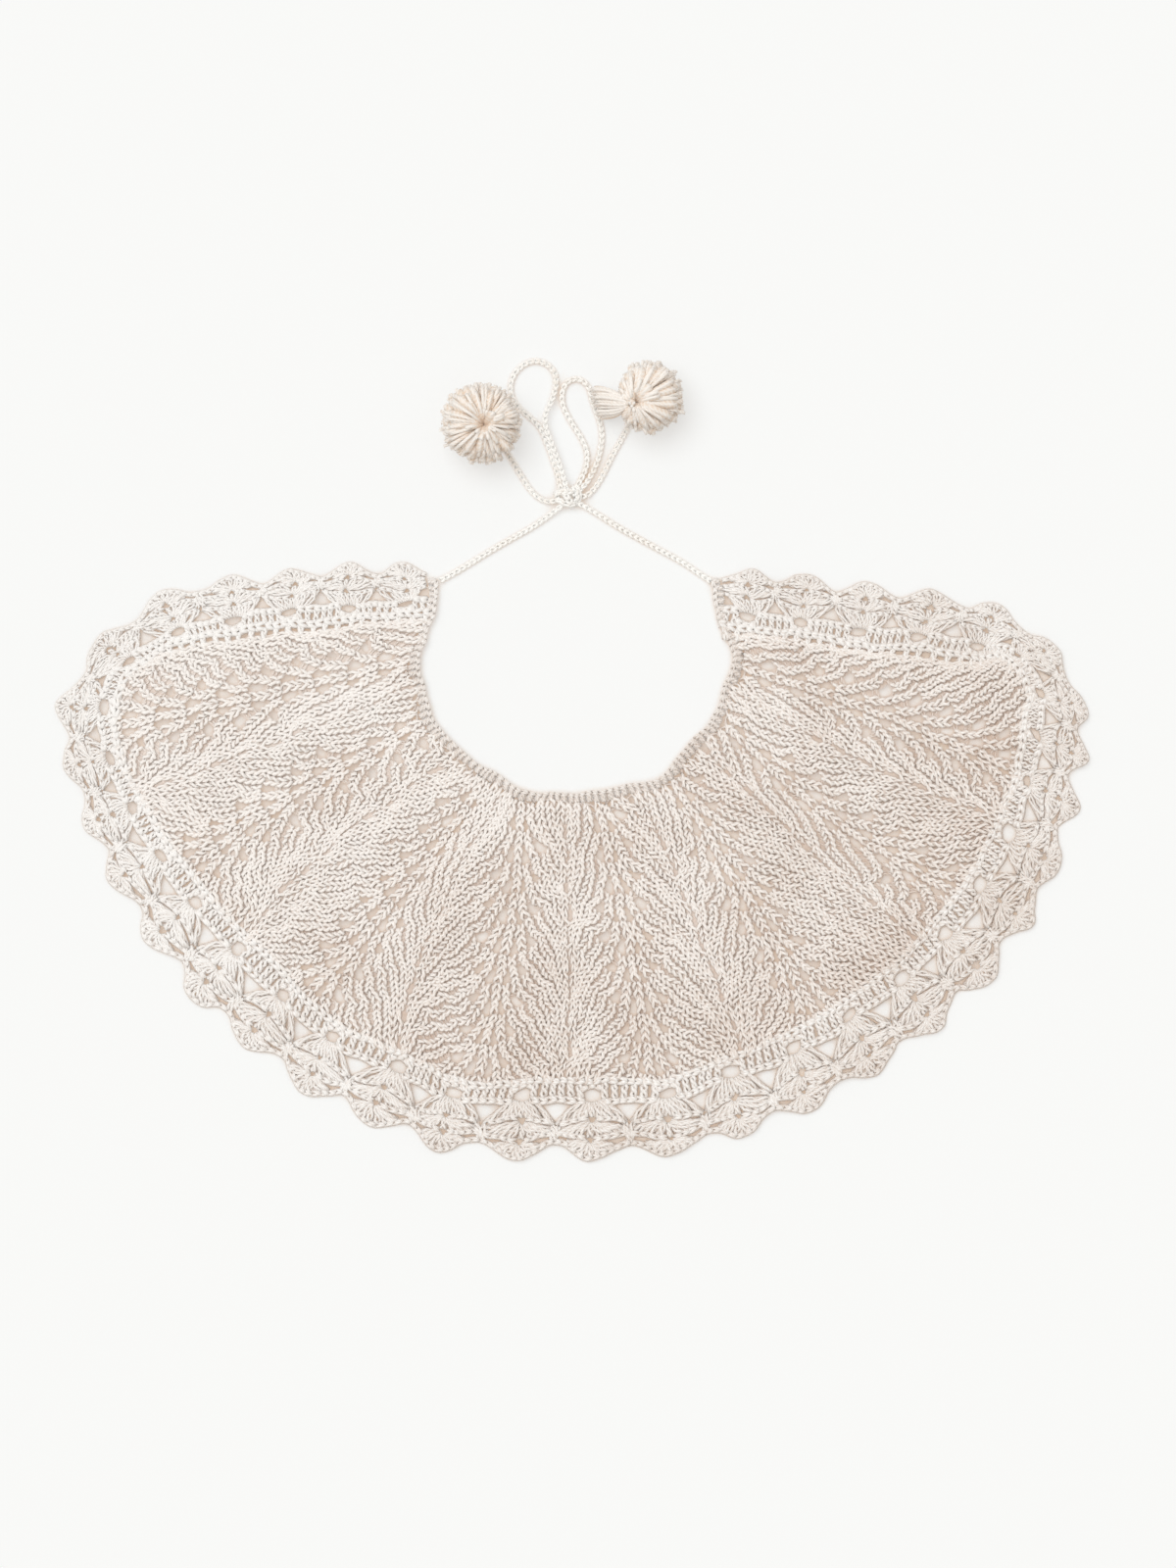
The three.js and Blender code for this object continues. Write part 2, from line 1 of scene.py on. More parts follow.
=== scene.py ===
# A lace collar of cream cotton, laid flat on a pale floor and seen from straight above.
# A knitted feather and fan yoke, a crocheted border of shells, a crocheted neck edge, and two crocheted
# cords tied in a bow that end in pompoms. Every stitch is modelled in yarn.
# Tables and sizes are in millimetres, +X to the right and +Y from the hem towards the ties.
import math

import bpy
import numpy as np
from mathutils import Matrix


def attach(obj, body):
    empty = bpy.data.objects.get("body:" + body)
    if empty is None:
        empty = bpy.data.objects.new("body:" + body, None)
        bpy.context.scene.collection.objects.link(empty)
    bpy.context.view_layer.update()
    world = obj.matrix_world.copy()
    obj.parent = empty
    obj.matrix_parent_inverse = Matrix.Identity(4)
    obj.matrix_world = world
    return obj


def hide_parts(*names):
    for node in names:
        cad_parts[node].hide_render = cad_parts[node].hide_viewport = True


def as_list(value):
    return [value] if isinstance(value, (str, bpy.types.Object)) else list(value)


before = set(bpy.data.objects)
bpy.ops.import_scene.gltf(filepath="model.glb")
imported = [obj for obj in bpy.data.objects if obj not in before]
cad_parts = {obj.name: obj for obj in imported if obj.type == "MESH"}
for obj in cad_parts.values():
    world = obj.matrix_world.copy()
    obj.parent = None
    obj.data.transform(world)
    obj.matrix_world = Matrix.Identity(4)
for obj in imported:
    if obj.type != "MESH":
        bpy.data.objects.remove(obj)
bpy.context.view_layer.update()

MM = 0.001  # a millimetre, in the frame's metres

# Sizes shared with the solids
NECK_EDGE_WIDE = 4.5
RIB_RISE = 2.2
RIB_WAVE = (0.12, 0.86)  # the stretch of half a wave that a rib's rise follows, from the neck to the hem
RIB_AT_ENDS = 0.2  # the share of that rise that is left at the yoke's two ends
HEM_BEYOND_HOLE = 0.287  # how far inside the holes the hem lies, per way from hole to tip
BORDER_STARTS = 0.56
BORDER_ENDS = 35.44
LAST_SCALLOP = 35
SCALLOP_CUT = 0.2  # how much further in the edge lies between two tips, in border depths

# The border's scallops, counted from the left end of the neck round the hem to the right end:
# at, holeX, holeY, tipX, tipY
SCALLOPS = np.array([
    (1, -85.5, 131, -86.5, 152),
    (3, -143.5, 126.5, -142, 149.5),
    (5, -201.5, 116.5, -208.5, 137),
    (6, -226, 101.5, -242, 112),
    (7, -238.5, 78.5, -262.5, 78.5),
    (8, -235.5, 52.5, -258.5, 47.5),
    (10, -210, 2.5, -236, -11.5),
    (12, -170.5, -45, -194.5, -70),
    (14, -122.5, -90, -138.5, -117),
    (15, -90, -104.5, -104, -134),
    (16, -61, -118.5, -68.5, -147.5),
    (17, -25, -120, -28.5, -152.5),
    (18, 10, -119, 8.5, -152.5),
    (19, 48, -119, 50, -150.5),
    (20, 81, -108, 87.5, -141),
    (21, 114, -95.5, 122.5, -128.5),
    (23, 167.5, -59.5, 187, -86),
    (25, 208.5, -12.5, 235, -33),
    (27, 231.5, 41, 257.5, 26.5),
    (29, 238, 86, 262.5, 77.5),
    (30, 226.5, 105, 246, 109),
    (31, 206.5, 110, 218, 130.5),
    (33, 145.5, 117.5, 151, 142.5),
    (35, 88.5, 125, 90.5, 149),
])
HOLE, TIP = slice(1, 3), slice(3, 5)

# The yoke's lines from the neck to the hem, a lace line and a rib by turns between the two ends:
# neckX, neckY, middleX, middleY, hemAt. An end has no middle, and lies along the border from END_NECKS.
LINES = np.array([
    (-70, 125, 0, 0, 5.9),
    (-78, 105.5, -145.5, 88, 7.4),
    (-75.5, 91, -142, 64, 8.8),
    (-71.5, 74, -139.5, 34.5, 10.4),
    (-55.5, 56, -112.5, 16, 11.9),
    (-42, 46, -88, -16.5, 13.3),
    (-33, 41, -70, -30.5, 14.9),
    (-25, 36, -31, -25.5, 16.3),
    (-5.5, 35.5, -1.5, -40.5, 17.6),
    (11.5, 35, 25, -25.5, 18.8),
    (33, 39.5, 61.5, -30.5, 20.2),
    (48.5, 46, 84, -10.5, 21.5),
    (62.5, 62, 123, 4.5, 23.6),
    (72, 75.5, 139, 18, 24.6),
    (77, 89.5, 148, 50.5, 26.1),
    (83, 100.5, 155.5, 75.5, 27.1),
    (76.5, 119, 0, 0, 30.1),
])
HEM_AT = LINES[:, 4]
LAST_LINE = len(LINES) - 1
END_NECKS = {0: 0.7, LAST_LINE: 35.2}  # where the two end lines start, counted in scallops

END_GAP = 0.13  # between an end of the yoke and the border, where posts bridge it, in border depths
END_GAP_CLOSES = 0.25  # it closes over this last share of the end

# Where the yoke sinks in a dent or a soft fold: x, y, reach, depth
DENTS = np.array([
    (-58, -100, 11, 1.6),
    (-198, -11, 12, 1.2),
    (-153, -75, 12, 1.2),
    (10, -53, 14, 0.8),
    (219, 88, 10, 1),
])

# The cords' routes along their centres, from the collar to the knot and from the knot outwards
KNOT = np.array((-2, 185, 4.7))
ROUTES = {
    "tie_lead_left": [
        (-67.2, 143.2, 2.4), (-58.5, 148, 1.8), (-49.5, 153.5, 1.8), (-40.5, 159, 1.8),
        (-31, 164.5, 1.8), (-22, 169.5, 1.8), (-13, 175.5, 2.2), (-5, 181.5, 4),
    ],
    "tie_lead_right": [
        (70.7, 142.7, 2.4), (63.5, 147.5, 1.8), (56, 152.5, 1.8), (45, 158.5, 1.8), (33, 165, 1.8),
        (24, 170, 1.8), (14.5, 176, 1.8), (7, 180.5, 2.4), (0, 184, 4),
    ],
    "bow_loop_left": [
        (-4.5, 187, 4.6), (-6.4, 192, 3.4), (-7.2, 196.5, 1.8), (-9, 202, 1.8), (-11, 208, 1.8),
        (-13.5, 214.5, 1.8), (-15.5, 219.5, 1.8), (-18.5, 223.5, 1.8), (-22.5, 227, 1.8),
        (-26.5, 230.5, 1.8), (-30, 235, 1.8), (-31.5, 240.5, 1.8), (-30.5, 246.5, 1.8),
        (-27, 251.5, 1.8), (-22, 254.6, 1.8), (-17, 255, 1.8), (-12, 252.8, 1.8),
        (-8.8, 248.5, 1.8), (-8.2, 243.5, 2.2), (-9.2, 238.5, 3), (-11, 233.5, 4.2),
        (-13.4, 228.5, 5.2), (-13.8, 223, 5.4), (-12.2, 217, 5.4), (-9.8, 211, 5.2),
        (-7.4, 204.5, 5.2), (-5.2, 198, 5.6), (-3.6, 192.5, 6), (-2.6, 187.5, 5.4),
    ],
    "bow_loop_right": [
        (0, 187, 4), (3, 192, 2.4), (5.6, 197, 1.8), (7.4, 202.5, 1.8), (7.4, 209, 1.8),
        (4.8, 215.5, 1.8), (1, 221.5, 1.8), (-2.5, 227.5, 1.8), (-5, 233.5, 1.8), (-5, 239.5, 1.8),
        (-2.6, 244.2, 1.8), (1.5, 246, 1.8), (6.2, 244.4, 1.8), (9, 240.2, 1.8), (10.2, 235, 1.8),
        (12.4, 229, 1.8), (14.4, 223, 1.8), (15.2, 216.5, 1.8), (14.4, 210, 1.8), (12.8, 204, 1.8),
        (10.2, 198, 1.8), (7, 192.6, 2.6), (2.6, 188, 4.6),
    ],
    "tie_tail_left": [
        (-6, 184.5, 4), (-12, 183.4, 2.4), (-17.5, 185.6, 1.8), (-21.8, 190, 1.8), (-25.4, 195.5, 1.8),
        (-28.8, 201, 1.8), (-32.2, 206.5, 1.8), (-36, 211.5, 2.2), (-41, 217.5, 6),
    ],
    "tie_tail_right": [
        (2, 185, 4), (8.4, 187.2, 2.4), (12.8, 192.4, 1.8), (16.2, 198.2, 1.8), (18.8, 203.6, 1.8),
        (21.6, 209, 1.8), (25, 215, 1.8), (28.5, 221.5, 2.4), (33, 229, 6),
    ],
}
POMPOMS = {
    "pompom_left": {"x": -46, "y": 222, "radius": 20.5, "high": 37, "tie_x": 2, "tie_y": -1.5},
    "pompom_right": {
        "x": 38, "y": 235.5, "radius": 18.6, "high": 34, "tie_x": -7.5, "tie_y": -4,
        "tuft": {"x": 20.5, "y": 233.5, "z": 10.4, "long": 25, "wide": 17, "high": 11},
    },
}

# The picture: its centre on the floor, its height there, and the camera's lens
VIEW_X, VIEW_Y = 8, 39.5
VIEW_HIGH = 800
LENS = 100
SENSOR = 36

# Yarn
YARN = 1.5  # the diameter of the yoke's yarn
SIDES = 5
CORE_SIDES = 4
# The yarn's tone is painted darker the deeper a place lies below the cloth's surface: painted shade in
# grooves and between strands.
ALONG = "yarn"  # the attribute that holds the place along and round each strand, and how deep it lies
GROOVE = 3.0  # how far below the cloth's surface the deepest grooves lie, where the painted shade is darkest
SHADE_FADES_FROM = 0.8  # the share of a groove's depth below which the painted shade fades again, painting the cloth's underside pale
SHADE_FADE_RATE = 3  # how fast the painted shade fades below that
DEPTH_POWER = 1.3  # over 1, shallow grooves get little painted shade
SPLINE_STEPS = 12


# Smooth curves and the places that the collar's tables give

def smooth(columns, place):
    """The table's other columns at a place along its first one, on a smooth curve through its rows."""
    key = columns[:, 0]
    place = np.asarray(place, float)
    row = np.clip(np.searchsorted(key, place, side="left") - 1, 0, len(key) - 2)
    before = np.maximum(np.arange(len(key)) - 1, 0)
    after = np.minimum(np.arange(len(key)) + 1, len(key) - 1)
    slopes = (columns[after] - columns[before]) / (key[after] - key[before])[:, None]
    span = (key[row + 1] - key[row])[..., None]
    share = (place - key[row])[..., None] / span
    inside = np.clip(share, 0, 1)
    square, cube = inside ** 2, inside ** 3
    value = columns[row] * (2 * cube - 3 * square + 1) + columns[row + 1] * (3 * square - 2 * cube)
    value += slopes[row] * span * (cube - 2 * square + inside)
    value += slopes[row + 1] * span * (cube - square)
    value += np.where(share < 0, slopes[row] * share * span, 0)
    value += np.where(share > 1, slopes[row + 1] * (share - 1) * span, 0)
    return value


def border_point(at, out):
    """A place on the border: at counts scallops, out runs from the yoke's hem at 0 to the tips at 1."""
    row = smooth(SCALLOPS, at)
    hole, tip = row[..., HOLE], row[..., TIP]
    hem = hole - HEM_BEYOND_HOLE * (tip - hole)
    return hem + (tip - hem) * np.asarray(out, float)[..., None]


def line_point(line, down):
    """A place on one of the yoke's lines, at a share of the way from its neck to its hem."""
    down = np.asarray(down, float)
    if line in END_NECKS:
        at = END_NECKS[line] + (HEM_AT[line] - END_NECKS[line]) * down
        return border_point(at, -END_GAP * np.clip((1 - down) / END_GAP_CLOSES, 0, 1))
    neck, middle = LINES[line, 0:2], LINES[line, 2:4]
    hem = border_point(HEM_AT[line], 0)
    first = np.linalg.norm(middle - neck)
    half = first / (first + np.linalg.norm(hem - middle))
    down = down[..., None]
    at_neck = (down - half) * (down - 1) / half
    at_middle = down * (down - 1) / (half * (half - 1))
    at_hem = down * (down - half) / (1 - half)
    return neck * at_neck + middle * at_middle + hem * at_hem


def between_lines(across, down):
    """A place between two of the yoke's lines. A whole number of across is on a line."""
    across, down = np.broadcast_arrays(np.asarray(across, float), np.asarray(down, float))
    left = np.clip(np.floor(across).astype(int), 0, LAST_LINE - 1)
    place = np.zeros(across.shape + (2,))
    for line in np.unique(left):
        here = left == line
        share = (across[here] - line)[..., None]
        one = np.ones_like(down[here])
        point = mix(line_point(line, down[here]), line_point(line + 1, down[here]), share)
        drift = mix(line_point(line, one), line_point(line + 1, one), share)
        hem = border_point(mix(HEM_AT[line], HEM_AT[line + 1], share[..., 0]), 0 * one)
        place[here] = point + (hem - drift) * down[here][..., None]
    return place


def mix(start, end, share):
    return start + (end - start) * share


def neck_point(across):
    """A place on the inner edge of the neck."""
    across = np.asarray(across, float)
    row = np.clip(np.floor(across).astype(int), 0, LAST_LINE)
    share = (across - row)[..., None]
    necks = LINES[:, 0:2]
    a, b, c, d = (necks[np.clip(row + step, 0, LAST_LINE)] for step in (-1, 0, 1, 2))
    start, end = (c - a) / 2, (d - b) / 2
    square, cube = share ** 2, share ** 3
    value = (2 * b - 2 * c + start + end) * cube + (3 * c - 3 * b - 2 * start - end) * square
    return value + start * share + b


def neck_outward(across):
    way = between_lines(across, 0.2) - neck_point(across)
    return way / np.linalg.norm(way, axis=-1, keepdims=True)


def yoke_point(across, down):
    """A place on the knitted yoke, from the outer side of the neck edging to the hem."""
    across, down = np.broadcast_arrays(np.asarray(across, float), np.asarray(down, float))
    start = neck_point(across) + neck_outward(across) * NECK_EDGE_WIDE
    shift = start - between_lines(across, np.zeros_like(across))
    return between_lines(across, down) + shift * (1 - down)[..., None]


def yoke_lift(across, down, point):
    """How far the yoke's underside stands off the floor."""
    rise = 0.5 + 0.5 * np.cos(math.pi * across)
    near_end = np.minimum(np.minimum(across, LAST_LINE - across), 1)
    lift = RIB_RISE * rise * np.sin(math.pi * mix(*RIB_WAVE, np.clip(down, 0, 1)))
    lift = lift * mix(RIB_AT_ENDS, 1, near_end)
    for x, y, reach, depth in DENTS:
        away = np.hypot(point[..., 0] - x, point[..., 1] - y) / reach
        lift = lift - depth * np.exp(-away ** 2)
    return np.maximum(lift, 0)


def yoke_place(across, down, above):
    """A place in the yoke's cloth, at a height above its underside."""
    point = yoke_point(across, down)
    lift = yoke_lift(np.asarray(across, float), np.asarray(down, float), point)
    return raised(point, lift + above)


RIPPLES = [
    # wave length, heading in degrees, phase, and the shift at its crest: x, y, z
    (43, 20, 0.4, 0.5, -0.3, 0.5),
    (31, 115, 2.9, -0.4, 0.5, 0.4),
    (22, 65, 1.7, 0.45, 0.3, 0.25),
    (16, 150, 4.4, -0.3, 0.4, 0.15),
    (11.5, 95, 5.3, 0.3, -0.2, 0.1),
    (8.7, 35, 3.6, -0.2, -0.25, 0),
]


def ripple(places):
    """The same places in hand-made cloth, which is drawn a little this way and that."""
    moved = places.copy()
    for length, heading, phase, *shift in RIPPLES:
        angle = math.radians(heading)
        along = places[..., 0] * math.cos(angle) + places[..., 1] * math.sin(angle)
        wave = np.sin(2 * math.pi * along / length + phase)[..., None]
        moved = moved + wave * np.array(shift) + np.array((0, 0, shift[2]))
    return moved


def spline(points, count):
    """count places spread evenly along a smooth curve through points."""
    points = np.asarray(points, float)
    padded = np.concatenate([2 * points[:1] - points[1:2], points, 2 * points[-1:] - points[-2:-1]])
    knots = [0.0]
    for gap in np.linalg.norm(np.diff(padded, axis=0), axis=1):
        knots.append(knots[-1] + math.sqrt(max(gap, 1e-9)))
    fine = []
    for row in range(1, len(padded) - 2):
        k0, k1, k2, k3 = knots[row - 1:row + 3]
        p0, p1, p2, p3 = padded[row - 1:row + 3]
        for k in np.linspace(k1, k2, SPLINE_STEPS, endpoint=row == len(padded) - 3):
            a1 = mix(p0, p1, (k - k0) / (k1 - k0))
            a2 = mix(p1, p2, (k - k1) / (k2 - k1))
            a3 = mix(p2, p3, (k - k2) / (k3 - k2))
            b1 = mix(a1, a2, (k - k0) / (k2 - k0))
            b2 = mix(a2, a3, (k - k1) / (k3 - k1))
            fine.append(mix(b1, b2, (k - k1) / (k2 - k1)))
    return resample(np.array(fine), count)


def resample(path, count):
    """count places spread evenly along a path."""
    along = path_lengths(path)
    wanted = np.linspace(0, along[-1], count)
    return np.stack([np.interp(wanted, along, path[:, axis]) for axis in range(path.shape[1])], axis=1)


def path_lengths(path):
    steps = np.linalg.norm(np.diff(path, axis=0), axis=1)
    return np.concatenate([[0], np.cumsum(steps)])


def unit(vectors):
    return vectors / np.maximum(np.linalg.norm(vectors, axis=-1, keepdims=True), 1e-9)


def raised(places, high):
    """The same places on the floor, raised to a height."""
    return np.concatenate([places, np.broadcast_to(high, places.shape[:-1])[..., None]], axis=-1)


def ways_from(paths, up=(0, 0, 1)):
    """The ways to the side and up from each place of a path."""
    forward = unit(np.gradient(paths, axis=-2))
    side = unit(np.cross(forward, np.broadcast_to(np.asarray(up, float), paths.shape)))
    return side, np.cross(side, forward)


def tube_points(paths, radius, sides, up):
    """Rings of points round paths of shape (strands, places, 3)."""
    side, lift = ways_from(paths, up)
    turn = 2 * math.pi * np.arange(sides) / sides
    ring = side[..., None, :] * np.cos(turn)[:, None] + lift[..., None, :] * np.sin(turn)[:, None]
    return paths[..., None, :] + ring * radius[..., None, None]


class Yarn:
    """Strands of yarn that end up in one mesh."""

    def __init__(self, top, rippled=True, groove=GROOVE, shade_fades_below=True):
        self.points, self.faces, self.caps, self.corners = [], [], [], []
        self.count = 0
        self.top = top  # the height of the surface that these strands make, from which their painted shade is measured
        self.rippled = rippled
        self.groove = groove
        self.shade_fades_below = shade_fades_below  # whether the painted shade fades again towards the cloth's underside

    def add(self, paths, radius, sides=SIDES, up=(0, 0, 1), top=None):
        """Adds tubes round paths of shape (strands, places, 3), all with the same number of places."""
        paths = np.asarray(paths, float)
        if paths.ndim == 2:
            paths = paths[None]
        strands, places = paths.shape[:2]
        radius = np.broadcast_to(np.asarray(radius, float), (strands, places))
        surface = np.broadcast_to(self.top if top is None else top, (strands, places))
        if self.rippled:
            before, paths = paths, ripple(paths)
            surface = surface + paths[..., 2] - before[..., 2]
        paths = raised(paths[..., :2], np.maximum(paths[..., 2], radius))
        points = tube_points(paths, radius, sides, up)
        first = self.count + np.arange(strands * places).reshape(strands, places) * sides
        start, end = first[:, :-1, None], first[:, 1:, None]
        here, there = np.arange(sides), (np.arange(sides) + 1) % sides
        quads = np.stack([start + here, end + here, end + there, start + there], axis=-1)
        self.points.append(points.reshape(-1, 3))
        self.faces.append(quads.reshape(-1, 4))
        self.corners.append(self.corner_values(paths, surface[..., None] - points[..., 2]))
        self.caps.append((np.concatenate([first[:, :1] + here, first[:, -1:] + here[::-1]]), sides))
        self.count += strands * places * sides

    def corner_values(self, paths, below):
        """The place along, the place round and the depth, at each corner of each face of some tubes."""
        strands, places, sides = below.shape
        steps = np.cumsum(np.linalg.norm(np.diff(paths, axis=1), axis=2), axis=1)
        lengths = np.concatenate([np.zeros((strands, 1)), steps], axis=1)
        near, far = lengths[:, :-1, None], lengths[:, 1:, None]
        low, high = np.arange(sides) / sides, (np.arange(sides) + 1) / sides
        # Painted shade: the depth below the surface sets how dark each corner is painted, and it may fade
        # again near the cloth's underside.
        depth = below / self.groove
        if self.shade_fades_below:
            depth = np.minimum(depth, SHADE_FADES_FROM - SHADE_FADE_RATE * (depth - SHADE_FADES_FROM))
        depth = np.clip(depth, 0, 1) ** DEPTH_POWER
        beside = np.roll(depth, -1, axis=2)
        values = [
            (near, far, far, near),
            (low, low, high, high),
            (depth[:, :-1], depth[:, 1:], beside[:, 1:], beside[:, :-1]),
        ]
        shape = (strands, places - 1, sides)
        spread = [np.stack([np.broadcast_to(x, shape) for x in row], axis=-1) for row in values]
        return np.stack(spread, axis=-1).reshape(-1, 3)

    def piece(self, name, material, node, slot):
        """The strands as one smooth object that stands for a solid."""
        faces = np.concatenate(self.faces)
        corners = [np.concatenate(self.corners)]
        loops, starts = [faces.ravel()], [np.arange(len(faces)) * 4]
        used = faces.size
        for caps, sides in self.caps:
            loops.append(caps.ravel())
            starts.append(used + np.arange(len(caps)) * sides)
            corners.append(np.zeros((caps.size, 3)))
            used += caps.size
        points = np.concatenate(self.points) * MM
        mesh = build_mesh(name, points, np.concatenate(loops), np.concatenate(starts))
        attribute = mesh.attributes.new(ALONG, "FLOAT_VECTOR", "CORNER")
        attribute.data.foreach_set("vector", np.concatenate(corners).ravel())
        return stand_in(mesh, material, node)


def build_mesh(name, points, loops, starts):
    mesh = bpy.data.meshes.new(name)
    mesh.vertices.add(len(points))
    mesh.vertices.foreach_set("co", np.asarray(points, np.float32).ravel())
    mesh.loops.add(len(loops))
    mesh.loops.foreach_set("vertex_index", np.asarray(loops, np.int32))
    mesh.polygons.add(len(starts))
    mesh.polygons.foreach_set("loop_start", np.asarray(starts, np.int32))
    mesh.update(calc_edges=True)
    mesh.validate()
    mesh.polygons.foreach_set("use_smooth", np.ones(len(starts), bool))
    return mesh


def add_object(name, data):
    thing = bpy.data.objects.new(name, data)
    bpy.context.scene.collection.objects.link(thing)
    return thing


def stand_in(mesh, material, node):
    """An object with the mesh's name, on the collar's body, that replaces a solid."""
    piece = add_object(mesh.name, mesh)
    mesh.materials.append(material)
    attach(piece, "root")
    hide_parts(node)
    return piece


# The camera, the light and the floor

SKY_COLOUR = (1, 0.94, 0.86)
SKY_STRENGTH = 0.64
WINDOW_COLOUR = (0.95, 0.985, 1)
WINDOW_ENERGY = 1.41
WINDOW_WIDE = 45  # in degrees, which makes its shadows soft
WINDOW_FROM = (-0.55, 0.5, 1.9)
FLOOR_HALF = 6  # in metres
FLOOR_GLOW = 0.9  # the floor is a lit table, whose light softens the shadows
FLOOR_OPEN = (0.489, 0.496, 0.4995)
FLOOR_PAINTED_SHADE = (0.385, 0.29, 0.213)  # painted shade and warm bounce light, in the floor's colour and glow, where the cotton is near
FLOOR_SHADE_REACH = 0.006  # how near to the cotton the floor gets that painted shade, in metres


def make_camera():
    camera = add_object("camera", bpy.data.cameras.new("camera"))
    camera.data.lens = LENS
    camera.data.sensor_width = SENSOR
    camera.data.clip_end = 20
    camera.location = (VIEW_X * MM, VIEW_Y * MM, VIEW_HIGH * MM * LENS / SENSOR)
    bpy.context.scene.camera = camera


def make_light():
    scene = bpy.context.scene
    scene.view_settings.view_transform = "Standard"
    world = bpy.data.worlds.new("studio")
    world.use_nodes = True
    sky = world.node_tree.nodes["Background"]
    sky.inputs["Color"].default_value = (*SKY_COLOUR, 1)
    sky.inputs["Strength"].default_value = SKY_STRENGTH
    scene.world = world
    sun = add_object("window", bpy.data.lights.new("window", "SUN"))
    sun.data.energy = WINDOW_ENERGY
    sun.data.angle = math.radians(WINDOW_WIDE)
    sun.data.color = WINDOW_COLOUR
    sun.location = WINDOW_FROM
    sun.rotation_euler = sun.location.to_track_quat("Z", "Y").to_euler()


def new_material(name, roughness, shine):
    """A material with its nodes, its links and its shader."""
    material = bpy.data.materials.new(name)
    material.use_nodes = True
    nodes, links = material.node_tree.nodes, material.node_tree.links
    shader = nodes["Principled BSDF"]
    shader.inputs["Roughness"].default_value = roughness
    shader.inputs["Specular IOR Level"].default_value = shine
    return material, nodes, links, shader


def colour_ramp(nodes, *stops):
    """A colour ramp through two stops, each a factor and its colour."""
    ramp = nodes.new("ShaderNodeValToRGB")
    for element, (factor, colour) in zip(ramp.color_ramp.elements, stops):
        element.position = factor
        element.color = (*colour, 1)
    return ramp


def make_floor():
    half = FLOOR_HALF
    points = np.array([(-half, -half, 0), (half, -half, 0), (half, half, 0), (-half, half, 0)], float)
    mesh = build_mesh("floor", points, [0, 1, 2, 3], [0])
    material, nodes, links, shader = new_material("floor", roughness=0.9, shine=0.1)
    # Painted shade: the floor's colour and glow turn darker and warmer near and under the cotton.
    shade_mask = nodes.new("ShaderNodeAmbientOcclusion")
    shade_mask.samples = 4
    shade_mask.inputs["Distance"].default_value = FLOOR_SHADE_REACH
    colours = colour_ramp(nodes, (0.2, FLOOR_PAINTED_SHADE), (0.68, FLOOR_OPEN))
    links.new(shade_mask.outputs["AO"], colours.inputs["Fac"])
    links.new(colours.outputs["Color"], shader.inputs["Base Color"])
    links.new(colours.outputs["Color"], shader.inputs["Emission Color"])
    shader.inputs["Emission Strength"].default_value = FLOOR_GLOW
    mesh.materials.append(material)
    add_object("floor", mesh)


# Cotton

PLIES = 3
PATCHY = 0.3  # how much the tone varies from place to place
PAINTED_LIGHT_WAY = (-0.3, 0.4, 0)  # painted light: the tone grows slowly paler this way, as if more light fell from that side, in tone per metre
FIBRES, PATCHES, FLECKS = (1400.0, 4.0), (22.0, 3.0), (420.0, 3.0)  # the scale and detail of each noise
PLY_HIGH, FIBRE_HIGH = 0.7, 0.6  # how much each raises the surface
# The ply tone is painted shade in the grooves between plies, and the depth tone is painted shade deep in the
# cloth; the fleck tone is the yarn's own.
PLY_SHADE_TONE, FLECK_TONE, DEPTH_SHADE_TONE = 0.18, 0.25, 0.45  # the most that each adds to the tone
DARK_TONE, LIGHT_TONE = 0.38, 0.86  # the tones of the cotton's dark and light colours


